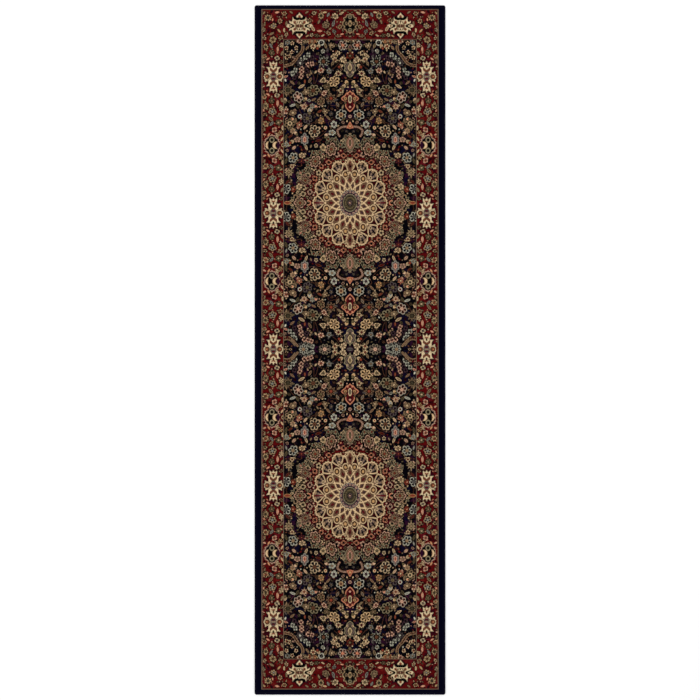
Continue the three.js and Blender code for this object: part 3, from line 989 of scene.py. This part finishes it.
# %% Tuck small leaves into the border
PAIRS = [("pink", "rust"), ("tan", "olive"), ("salmon", "rust"), ("sand", "rust"),
         ("olive", "moss"), ("plum", "black")]
for radius, tries in ((5.5, 450), (4.0, 900), (2.8, 1800)):
    for index in range(tries):
        x = RNG.uniform(0, BORDER_EDGE[0] - 3)
        y = RNG.uniform(0, BORDER_EDGE[1] - 3)
        if x < INNER_GUARD_EDGE[0] + 3 and y < INNER_GUARD_EDGE[1] + 3:
            continue
        gap = view((x, y, 1, 1), radius + 0.6)[0]
        if taken[gap].any():
            continue
        edge, body = PAIRS[RNG.choice(6)]
        turn = RNG.uniform(-90, 90)
        repeats = [(x, y, 1, 1)]
        if y < 282 and x > INNER_GUARD_EDGE[0]:
            repeats = in_side(x, y)
        plant(repeats, leaf, radius * 2.2, radius * 0.9, turn, edge, body)

# %% Clip the border and lay the stripes outside it
inside = ~beyond(INNER_GUARD_EDGE)
cartoon[inside] = within[inside]
cartoon[beyond(BORDER_EDGE)] = YARN["guard"]
cartoon[beyond(OUTER_GUARD_EDGE)] = YARN["band"]

# %% [markdown]
# ## Tufts
# A tuft takes the mean of the four samples under it. No two tufts of one yarn look quite the
# same, because each is cut and crushed a little differently, so every tuft is made a little
# lighter or darker. The loom mirrors the quarter, so a tuft's place is folded first.

# %% The colour of the tuft at a point
GAMMA = 2.2
DYE_STRENGTH = 0.8
tufts = cartoon ** GAMMA * DYE_STRENGTH
rows, columns = (count // 2 * 2 for count in tufts.shape[:2])
tufts = tufts[:rows, :columns].reshape(rows // 2, 2, columns // 2, 2, 3).mean(axis=(1, 3))


def tuft_colour(x, y):
    """Linear colour at points of the rug, in metres."""
    across = np.abs(x - design_centre[0]) / MM / TUFT
    along = np.abs(y - design_centre[1]) / MM / TUFT
    column = np.clip(across.astype(int), 0, tufts.shape[1] - 1)
    row = np.clip(along.astype(int), 0, tufts.shape[0] - 1)
    return tufts[row, column]


# %% [markdown]
# ## Materials
# Wool pile has no gloss. It glows a little at a low angle, which the sheen gives, and each tuft
# is a bundle of fibres, which a fine noise gives: it varies the yarn's tone and roughens it. The
# same noise is the bump's height, so the colour is darker where the bump is low: painted shade
# in the hollows between the fibres.

# %% A yarn material
def yarn_material(name, colour, sheen=0.03, grain=900, depth=0.0006, low=0.62, high=1.12,
                  attribute=None):
    material = bpy.data.materials.new(name)
    material.use_nodes = True
    nodes = material.node_tree.nodes
    link = material.node_tree.links.new
    shader = nodes["Principled BSDF"]
    shader.inputs["Roughness"].default_value = 0.95
    shader.inputs["Specular IOR Level"].default_value = 0.02
    shader.inputs["Sheen Weight"].default_value = sheen
    shader.inputs["Sheen Roughness"].default_value = 0.5
    place = nodes.new("ShaderNodeTexCoord")
    noise = nodes.new("ShaderNodeTexNoise")
    noise.inputs["Scale"].default_value = grain
    noise.inputs["Detail"].default_value = 3
    link(place.outputs["Object"], noise.inputs["Vector"])
    # The colour follows the bump's noise, so its low spots are darker: a random tone of the yarn,
    # and painted shade in the hollows between the fibres, in every material made here.
    spread = nodes.new("ShaderNodeMapRange")
    spread.inputs["From Min"].default_value = 0.3
    spread.inputs["From Max"].default_value = 0.7
    spread.inputs["To Min"].default_value = low
    spread.inputs["To Max"].default_value = high
    link(noise.outputs["Fac"], spread.inputs["Value"])
    mix = nodes.new("ShaderNodeMix")
    mix.data_type = "RGBA"
    mix.blend_type = "MULTIPLY"
    mix.inputs["Factor"].default_value = 1
    mix.inputs["A"].default_value = (*colour, 1)
    if attribute:
        source = nodes.new("ShaderNodeAttribute")
        source.attribute_name = attribute
        link(source.outputs["Color"], mix.inputs["A"])
    link(spread.outputs["Result"], mix.inputs["B"])
    link(mix.outputs["Result"], shader.inputs["Base Color"])
    bump = nodes.new("ShaderNodeBump")
    bump.inputs["Strength"].default_value = 0.6
    bump.inputs["Distance"].default_value = depth
    link(noise.outputs["Fac"], bump.inputs["Height"])
    link(bump.outputs["Normal"], shader.inputs["Normal"])
    return material


def linear(yarn):
    return tuple(YARN[yarn] ** GAMMA)


PILE = {slot: yarn_material(slot, linear(yarn), attribute="tuft")
        for slot, yarn in (("pile_navy", "band"), ("pile_tan", "tan"), ("pile_red", "red"),
                           ("pile_maroon", "maroon"), ("pile_cream", "cream"))}
winding_yarn = yarn_material("overcast_yarn", (0.0016, 0.0014, 0.009), sheen=0.03, grain=1600)
cord_fibre = yarn_material("cord_fibre", (0.5, 0.4, 0.26), sheen=0.03)
ground_jute = yarn_material("ground_cloth", (0.42, 0.3, 0.16), sheen=0.03)
latex = yarn_material("latex_coat", (0.55, 0.47, 0.34), sheen=0.0, grain=350, low=0.85, high=1.05)

# %% Show the threads of the cloth through the latex
THREAD = 7 * MM
WAVES_PER_METRE = math.pi / 10
links = latex.node_tree.links
shader = latex.node_tree.nodes["Principled BSDF"]
place = next(node for node in latex.node_tree.nodes if node.type == "TEX_COORD")
tint = shader.inputs["Base Color"].links[0].from_socket
for direction in ("X", "Y"):
    threads = latex.node_tree.nodes.new("ShaderNodeTexWave")
    threads.bands_direction = direction
    threads.inputs["Scale"].default_value = WAVES_PER_METRE / THREAD
    threads.inputs["Distortion"].default_value = 1.2
    threads.inputs["Detail Scale"].default_value = 2
    links.new(place.outputs["Object"], threads.inputs["Vector"])
    shade = latex.node_tree.nodes.new("ShaderNodeMapRange")
    shade.inputs["To Min"].default_value = 0.72
    links.new(threads.outputs["Fac"], shade.inputs["Value"])
    weave = latex.node_tree.nodes.new("ShaderNodeMix")
    weave.data_type = "RGBA"
    weave.blend_type = "MULTIPLY"
    weave.inputs["Factor"].default_value = 1
    links.new(tint, weave.inputs["A"])
    links.new(shade.outputs["Result"], weave.inputs["B"])
    tint = weave.outputs["Result"]
links.new(tint, shader.inputs["Base Color"])

# %% [markdown]
# ## The pile
# A block of pile is a grid with one face to a tuft, cut to the outline of its zone. Its open
# edge is pulled down to the cloth and closed there. The tops stand a little unevenly, and the
# outermost rows lean over the edge, because nothing holds them up on that side.

# %% Make a block of pile
PILE_BOTTOM, PILE_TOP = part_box("pile_field")[0][2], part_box("pile_field")[1][2]
BLOCK_GAP = 0.03 * MM
RUFFLE = 0.22 * MM
LEAN, LEAN_DROP = 6 * MM, 2.6 * MM
band_edge = np.array([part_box("pile_band_right")[1][0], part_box("pile_band_head")[1][1]])
print("pile from", PILE_BOTTOM, "to", PILE_TOP)


def set_points(piece, points):
    piece.data.vertices.foreach_set("co", np.ascontiguousarray(points, np.float32).ravel())
    piece.data.update()


def points_of(piece):
    flat = np.empty(len(piece.data.vertices) * 3, np.float32)
    piece.data.vertices.foreach_get("co", flat)
    return flat.reshape(-1, 3).astype(float)


def select_faces(piece, chosen):
    bpy.ops.object.mode_set(mode="EDIT")
    bpy.ops.mesh.select_mode(type="FACE")
    bpy.ops.mesh.select_all(action="DESELECT")
    bpy.ops.object.mode_set(mode="OBJECT")
    piece.data.polygons.foreach_set("select", chosen)
    bpy.ops.object.mode_set(mode="EDIT")


def face_values(piece, name, width):
    flat = np.empty(len(piece.data.polygons) * width, np.float32)
    piece.data.polygons.foreach_get(name, flat)
    return flat.reshape(-1, width).astype(float)


def select_open_edges():
    """In edit mode, selects the edges that have a face on one side only."""
    bpy.ops.mesh.select_mode(type="EDGE")
    bpy.ops.mesh.select_all(action="DESELECT")
    bpy.ops.mesh.select_non_manifold(extend=False)


def pile_block(name, low, high, inside, slot, node):
    """A block of tufts between two corners; inside says which points belong to it."""
    low, high = np.array(low), np.array(high)
    counts = np.maximum(np.round((high - low) / MM / TUFT), 1).astype(int)
    bpy.ops.mesh.primitive_grid_add(x_subdivisions=int(counts[0]), y_subdivisions=int(counts[1]),
                                    size=1)
    piece = bpy.context.object
    piece.name = name
    points = points_of(piece)
    points[:, :2] = low + (points[:, :2] + 0.5) * (high - low)
    shake = np.random.default_rng(len(name) + int(counts.sum()))
    points[:, 2] = PILE_TOP + shake.uniform(-RUFFLE, RUFFLE, len(points))
    inset = (band_edge - np.abs(points[:, :2])).min(axis=1)
    points[:, 2] -= LEAN_DROP * np.clip(1 - inset / LEAN, 0, 1) ** 2
    set_points(piece, points)
    centre = face_values(piece, "center", 3)
    outside = ~inside(centre[:, 0], centre[:, 1])
    if outside.any():
        select_faces(piece, outside)
        bpy.ops.mesh.delete(type="FACE")
    else:
        bpy.ops.object.mode_set(mode="EDIT")
    select_open_edges()
    bpy.ops.mesh.extrude_edges_move(TRANSFORM_OT_translate={
        "value": (0, 0, PILE_BOTTOM - PILE_TOP)})
    bpy.ops.mesh.edge_face_add()
    bpy.ops.mesh.select_all(action="SELECT")
    bpy.ops.mesh.normals_make_consistent(inside=False)
    bpy.ops.object.mode_set(mode="OBJECT")
    points = points_of(piece)
    points[points[:, 2] < (PILE_TOP + PILE_BOTTOM) / 2, 2] = PILE_BOTTOM
    set_points(piece, points)
    dress_tufts(piece, low, high)
    finish_piece(piece, PILE[slot], slot, node)
    return piece


# %% Colour the tufts and unfold the block
def dress_tufts(piece, low, high):
    """Each face takes its tuft's colour; the walls are folded out round the top in the map."""
    centre = face_values(piece, "center", 3)
    facing = face_values(piece, "normal", 3)
    look = centre[:, :2] - facing[:, :2] * TUFT / 2 * MM
    colour = tuft_colour(look[:, 0], look[:, 1])
    dice = np.random.default_rng(len(colour))
    colour = colour * dice.normal(1, 0.09, len(colour)).clip(0.75, 1.25)[:, None]
    corners = np.empty(len(piece.data.polygons), np.int32)
    piece.data.polygons.foreach_get("loop_total", corners)
    shade = np.ones((len(colour), 4), np.float32)
    shade[:, :3] = colour
    layer = piece.data.color_attributes.new("tuft", "FLOAT_COLOR", "CORNER")
    layer.data.foreach_set("color", np.repeat(shade, corners, axis=0).ravel())
    vertex_of = np.empty(len(piece.data.loops), np.int32)
    piece.data.loops.foreach_get("vertex_index", vertex_of)
    spot = points_of(piece)[vertex_of]
    face_normal = np.repeat(facing, corners, axis=0)
    flat = spot[:, :2] + face_normal[:, :2] * (PILE_TOP + 0.001 - spot[:, 2:3]).clip(0, None) * (
        np.abs(face_normal[:, 2:3]) < 0.5)
    under = face_normal[:, 2] < -0.5
    wall = 10 * MM
    strip = 12 * MM
    share = (spot[under, 0] - low[0]) / (high[0] - low[0])
    flat[under, 0] = low[0] - wall - strip + share * strip * 0.8
    start = low - wall - np.array([strip, 0])
    unfolded = (flat - start) / (high + wall - start)
    unfolded = 0.004 + unfolded * 0.992
    while piece.data.uv_layers:
        piece.data.uv_layers.remove(piece.data.uv_layers[0])
    piece.data.uv_layers.new(name="OFBake")
    piece.data.uv_layers["OFBake"].data.foreach_set("uv", unfolded.astype(np.float32).ravel())


def finish_piece(piece, material, slot, *nodes):
    piece.data.materials.clear()
    piece.data.materials.append(material)
    bpy.ops.object.select_all(action="DESELECT")
    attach(piece, "root")
    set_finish(piece, slot)
    if nodes:
        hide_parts(*nodes)


def everywhere(x, y):
    return np.ones(len(x), bool)


# %% [markdown]
# The field surrounds two ovals, and each oval surrounds a rosette with sixteen lobes. Both
# outlines come from the frame's own blocks. Each of these blocks is woven as a few smaller
# ones that meet on the axes, which keeps every block a simple shape without a hole.

# %% The outlines of the ovals and rosettes
LOBE_DEPTH = 10 * MM
halo_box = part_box("pile_halo_head")
rosette_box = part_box("pile_rosette_head")
medallion_y = (halo_box[0][1] + halo_box[1][1]) / 2
AXES = (medallion_y, 2 * design_centre[1] - medallion_y)


def radius_share(x, y, box, lobe_depth):
    """Distance from the nearest medallion's middle, as a share of the outline's distance."""
    half_width = (box[1][0] - box[0][0]) / 2
    half_length = (box[1][1] - box[0][1]) / 2
    near = np.where(y > design_centre[1], AXES[0], AXES[1])
    angle = np.arctan2((y - near) / half_length, x / half_width)
    cut = lobe_depth * (1 - np.abs(np.cos(angle * LOBES / 2)))
    edge = np.hypot((half_width - cut) * np.cos(angle), (half_length - cut) * np.sin(angle))
    return np.hypot(x, y - near) / edge


def in_rosette(x, y):
    return radius_share(x, y, rosette_box, LOBE_DEPTH) < 1


def in_halo(x, y):
    return (radius_share(x, y, halo_box, 0) < 1) & ~in_rosette(x, y)


def in_ground(x, y):
    return radius_share(x, y, halo_box, 0) >= 1


# %% Weave the field, the halos and the rosettes
left, right = -FIELD_EDGE[0] * MM + BLOCK_GAP, FIELD_EDGE[0] * MM - BLOCK_GAP
foot = design_centre[1] - FIELD_EDGE[1] * MM
head = design_centre[1] + FIELD_EDGE[1] * MM
lines = [foot, AXES[1], design_centre[1], AXES[0], head]
for number, (start, end) in enumerate(zip(lines, lines[1:])):
    pile_block(f"field_pile_{number + 1}", (left, start + BLOCK_GAP), (right, end - BLOCK_GAP),
               in_ground, "pile_navy", "pile_field")
for end, axis in zip(("head", "foot"), AXES):
    reach = (halo_box[1][1] - halo_box[0][1]) / 2 + GUARD_GAP * MM
    half = halo_box[1][0] + GUARD_GAP * MM
    for part, (low_y, high_y) in enumerate([(axis, axis + reach), (axis - reach, axis)]):
        for side, (low_x, high_x) in (("left", (-half, 0)), ("right", (0, half))):
            pile_block(f"halo_pile_{end}_{side}_{part + 1}", (low_x + BLOCK_GAP, low_y + BLOCK_GAP),
                       (high_x - BLOCK_GAP, high_y - BLOCK_GAP), in_halo, "pile_maroon",
                       f"pile_halo_{end}")
    reach = (rosette_box[1][1] - rosette_box[0][1]) / 2 + GUARD_GAP * MM
    half = rosette_box[1][0] + GUARD_GAP * MM
    for part, (low_y, high_y) in enumerate([(axis, axis + reach), (axis - reach, axis)]):
        pile_block(f"rosette_pile_{end}_{part + 1}", (-half + BLOCK_GAP, low_y + BLOCK_GAP),
                   (half - BLOCK_GAP, high_y - BLOCK_GAP), in_rosette, "pile_cream",
                   f"pile_rosette_{end}")
print("field blocks:", len([o for o in bpy.data.objects if "_pile_" in o.name]))

# %% [markdown]
# The frames round the field are straight strips. The long ones are woven in a few
# lengths, so that no block holds too many tufts.

# %% Weave the borders, guards and bands
for zone, slot, lengths in (("inner_guard", "pile_tan", 1), ("border", "pile_red", 4),
                            ("outer_guard", "pile_tan", 1), ("band", "pile_navy", 2)):
    for place in ("left", "right", "head", "foot"):
        node = f"pile_{zone}_{place}"
        low, high = (np.array(corner[:]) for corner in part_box(node))
        low[:2] -= GUARD_GAP * MM - BLOCK_GAP
        high[:2] += GUARD_GAP * MM - BLOCK_GAP
        pieces = lengths if place in ("left", "right") else 1
        cuts = np.linspace(low[1], high[1], pieces + 1)
        for number, (start, end) in enumerate(zip(cuts, cuts[1:])):
            name = f"{zone}_pile_{place}" + (f"_{number + 1}" if pieces > 1 else "")
            pile_block(name, (low[0], start + BLOCK_GAP), (high[0], end - BLOCK_GAP), everywhere,
                       slot, node)
print("pile blocks:", len([o for o in bpy.data.objects if "_pile_" in o.name]))

# %% [markdown]
# ## The overcast edge
# Navy yarn is wound over a cord and the raw edge of the cloth, turn by turn, so its outside is
# a row of slanting ribs. It is a grid bent round the section of the edge, which runs on round
# the corners of the rug. The ribs lift the outside only.

# %% Sections and paths
WIND_PITCH = 2.4
RIB = 0.34
SAMPLES_PER_TURN = 4
rug_low, rug_high = np.array(cad_box[0][:2]), np.array(cad_box[1][:2])
HALF = (rug_high - rug_low) / 2 / MM
EDGE_HEIGHT = (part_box("overcast_left")[1][2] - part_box("overcast_left")[0][2]) / MM
EDGE_WIDTH = (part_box("overcast_left")[1][0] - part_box("overcast_left")[0][0]) / MM
CORNER = 8
MOST_INSET = 7.6
WELD = 0.002 * MM
bow = EDGE_HEIGHT / 2
ARC = np.radians(np.arange(-90, -271, -30))
NOSE = [(bow + bow * math.cos(angle), bow + bow * math.sin(angle)) for angle in ARC]
OUTSIDE = [(EDGE_WIDTH, 0.1), (6.2, 0.0), *NOSE, (6.2, EDGE_HEIGHT),
           (EDGE_WIDTH, EDGE_HEIGHT - 0.2)]
INSIDE = [(EDGE_WIDTH, 3.4), (5.7, 3.4), (4.9, 5.2), (2.6, 5.4), (1.3, 3.5), (2.6, 1.5), (3.6, 0.9),
          (EDGE_WIDTH, 0.8)]
SECTION = np.array(OUTSIDE + INSIDE + OUTSIDE[:1])
LIFTED = np.array([1.0] * len(OUTSIDE) + [0.0] * len(INSIDE) + [1.0])


def corner_path(distance, length_half, width_half):
    """Points and inward directions along one side of the rug and round both its corners."""
    lead = EDGE_WIDTH - CORNER
    turn = CORNER * math.pi / 2
    straight = 2 * (length_half - CORNER)
    point = np.zeros((len(distance), 2))
    inward = np.zeros((len(distance), 2))
    for index, s in enumerate(distance):
        flip = s > lead + turn + straight / 2
        t = 2 * (lead + turn) + straight - s if flip else s
        if t < lead:
            place, direction = (lead - t - width_half + CORNER, length_half), (0, -1)
        elif t < lead + turn:
            angle = (t - lead) / CORNER
            direction = (math.sin(angle), -math.cos(angle))
            place = (CORNER - width_half - CORNER * math.sin(angle),
                     length_half - CORNER + CORNER * math.cos(angle))
        else:
            place, direction = (-width_half, length_half - CORNER - (t - lead - turn)), (1, 0)
        sign = -1 if flip else 1
        point[index] = (place[0], sign * place[1])
        inward[index] = (direction[0], sign * direction[1])
    return point, inward


def wind(name, distance, point, inward, turned, node):
    """The winding along a path, bent from a grid."""
    around = len(SECTION) - 1
    along = len(distance) - 1
    bpy.ops.mesh.primitive_grid_add(x_subdivisions=around, y_subdivisions=along, size=1)
    piece = bpy.context.object
    piece.name = name
    grid = points_of(piece)
    column = np.round((grid[:, 0] + 0.5) * around).astype(int)
    row = np.round((grid[:, 1] + 0.5) * along).astype(int)
    inset, height = SECTION[column].T
    phase = distance[row] / WIND_PITCH + column / around * 0.8
    lift = LIFTED[column] * RIB * np.abs(np.sin(phase * math.pi))
    outward = np.array([inset - bow, height - bow]).T
    outward[:, 0] = np.minimum(outward[:, 0], 0)
    outward /= np.maximum(np.linalg.norm(outward, axis=1), 0.1)[:, None]
    height = height + np.where(height > 0.3, lift * outward[:, 1], 0)
    inset = inset - lift * np.maximum(-outward[:, 0], 0)
    bend = np.abs(inward).max(axis=1)[row] < 0.9999
    inset = np.where(bend, np.minimum(inset, MOST_INSET), inset)
    points = np.zeros((len(grid), 3))
    points[:, :2] = point[row] + inward[row] * inset[:, None]
    points[:, 2] = height
    if turned:
        points[:, :2] *= -1
    set_points(piece, points * MM)
    close_tube(piece)
    finish_piece(piece, winding_yarn, "overcast_yarn", node)
    return piece


def close_tube(piece):
    """Welds the seam of a bent grid, closes its ends and turns its faces out."""
    bpy.ops.object.mode_set(mode="EDIT")
    bpy.ops.mesh.select_all(action="SELECT")
    bpy.ops.mesh.remove_doubles(threshold=WELD)
    select_open_edges()
    bpy.ops.mesh.fill_holes(sides=0)
    bpy.ops.mesh.select_all(action="SELECT")
    bpy.ops.mesh.normals_make_consistent(inside=False)
    bpy.ops.mesh.faces_shade_smooth()
    bpy.ops.object.mode_set(mode="OBJECT")


# %% Wind the four edges
side_length = 2 * (EDGE_WIDTH - CORNER + CORNER * math.pi / 2) + 2 * (HALF[1] - CORNER)
side_steps = int(side_length / WIND_PITCH * SAMPLES_PER_TURN)
distance = np.linspace(0, side_length, side_steps + 1)
point, inward = corner_path(distance, HALF[1], HALF[0])
wind("edge_winding_left", distance, point, inward, False, "overcast_left")
wind("edge_winding_right", distance, point, inward, True, "overcast_right")
end_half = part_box("overcast_head")[1][0] / MM + GUARD_GAP / 2
end_steps = int(2 * end_half / WIND_PITCH * SAMPLES_PER_TURN)
distance = np.linspace(0, 2 * end_half, end_steps + 1)
point = np.array([distance - end_half, np.full(len(distance), HALF[1])]).T
inward = np.tile((0.0, -1.0), (len(distance), 1))
wind("edge_winding_head", distance, point, inward, False, "overcast_head")
wind("edge_winding_foot", distance, point, inward, True, "overcast_foot")

# %% [markdown]
# Inside each winding lies a cord of three twisted strands, which rounds the edge.

# %% Twist the cords
CORD_TWIST = 9
STRANDS = 3
STEPS_PER_TWIST = 6
CORD_SIDES = 12
CORD_RADIUS = 1.72
STRAND_SWELL = 0.24
for place in ("left", "right", "head", "foot"):
    low, high = (np.array(corner[:]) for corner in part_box(f"edge_cord_{place}"))
    axis = 1 if place in ("left", "right") else 0
    length = high[axis] - low[axis]
    along = int(length / MM / CORD_TWIST * STEPS_PER_TWIST)
    bpy.ops.mesh.primitive_grid_add(x_subdivisions=CORD_SIDES, y_subdivisions=along, size=1)
    piece = bpy.context.object
    piece.name = f"cord_{place}"
    grid = points_of(piece)
    angle = (grid[:, 0] + 0.5) * 2 * math.pi
    run = (grid[:, 1] + 0.5) * length
    twist = angle * STRANDS + run / MM / CORD_TWIST * 2 * math.pi
    radius = (CORD_RADIUS + STRAND_SWELL * np.cos(twist)) * MM
    middle_of = (low + high) / 2
    points = np.zeros((len(grid), 3))
    points[:, axis] = low[axis] + run
    points[:, 1 - axis] = middle_of[1 - axis] + radius * np.cos(angle)
    points[:, 2] = middle_of[2] + radius * np.sin(angle)
    set_points(piece, points)
    close_tube(piece)
    finish_piece(piece, cord_fibre, "cord_fibre", f"edge_cord_{place}")

# %% [markdown]
# ## The cloth and its coat
# The cloth is a jute weave that carries the tufts. The latex coat under it is spread thin, so
# the ribs of the weave show through it on the underside.

# %% The ground cloth
def slab(name, node, step):
    """A flat layer, with enough faces to carry the ribs of the weave."""
    low, high = (np.array(corner[:]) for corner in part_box(node))
    counts = np.round((high - low)[:2] / MM / step).astype(int)
    bpy.ops.mesh.primitive_grid_add(x_subdivisions=int(counts[0]), y_subdivisions=int(counts[1]),
                                    size=1)
    piece = bpy.context.object
    piece.name = name
    grid = points_of(piece)
    points = np.zeros((len(grid), 3))
    points[:, :2] = low[:2] + (grid[:, :2] + 0.5) * (high - low)[:2]
    points[:, 2] = low[2]
    column = np.round((grid[:, 0] + 0.5) * counts[0]).astype(int)
    row = np.round((grid[:, 1] + 0.5) * counts[1]).astype(int)
    rim = (column == 0) | (row == 0) | (column == counts[0]) | (row == counts[1])
    points[:, 2] += np.where(rim, 0, ((column + row) % 2) * WEAVE_DEPTH)
    set_points(piece, points)
    bpy.ops.object.mode_set(mode="EDIT")
    select_open_edges()
    bpy.ops.mesh.extrude_edges_move(TRANSFORM_OT_translate={"value": (0, 0, high[2] - low[2])})
    bpy.ops.mesh.edge_face_add()
    bpy.ops.mesh.select_all(action="SELECT")
    bpy.ops.mesh.normals_make_consistent(inside=False)
    bpy.ops.object.mode_set(mode="OBJECT")
    return piece


WEAVE_DEPTH = 0.12 * MM
cloth = slab("ground_weave", "woven_ground_cloth", 9)
finish_piece(cloth, ground_jute, "ground_cloth", "woven_ground_cloth")
coat = slab("latex_back", "latex_back_coat", 6)
finish_piece(coat, latex, "latex_coat", "latex_back_coat")

# %% [markdown]
# ## The studio
# The rug lies on a plain white floor under a large soft light, seen from straight above.

# %% Floor, light and camera
bpy.ops.mesh.primitive_plane_add(size=14)
floor = bpy.context.object
floor.name = "floor"
paper = bpy.data.materials.new("floor")
paper.use_nodes = True
paper.node_tree.nodes["Principled BSDF"].inputs["Base Color"].default_value = (0.86, 0.86, 0.86, 1)
paper.node_tree.nodes["Principled BSDF"].inputs["Roughness"].default_value = 0.9
paper.node_tree.nodes["Principled BSDF"].inputs["Specular IOR Level"].default_value = 0.2
floor.data.materials.append(paper)

world = bpy.data.worlds.new("studio")
world.use_nodes = True
world.node_tree.nodes["Background"].inputs["Color"].default_value = (1, 1, 1, 1)
world.node_tree.nodes["Background"].inputs["Strength"].default_value = 0.85
bpy.context.scene.world = world
bpy.ops.object.light_add(type="AREA", location=(-0.5, 0.7, 5.5))
lamp = bpy.context.object
lamp.name = "soft_box"
lamp.rotation_euler = (math.radians(-7), math.radians(-5), 0)
lamp.data.shape = "RECTANGLE"
lamp.data.size = 3
lamp.data.size_y = 4
lamp.data.energy = 150

CAMERA_HEIGHT = 6.0
PICTURE_SIDE = 2.891
SENSOR_WIDTH = 36
bpy.ops.object.camera_add(location=(0, 0, CAMERA_HEIGHT), rotation=(0, 0, 0))
camera = bpy.context.object
camera.data.sensor_width = SENSOR_WIDTH
camera.data.lens = SENSOR_WIDTH * CAMERA_HEIGHT / PICTURE_SIDE
bpy.context.scene.camera = camera
bpy.context.scene.view_settings.view_transform = "Standard"
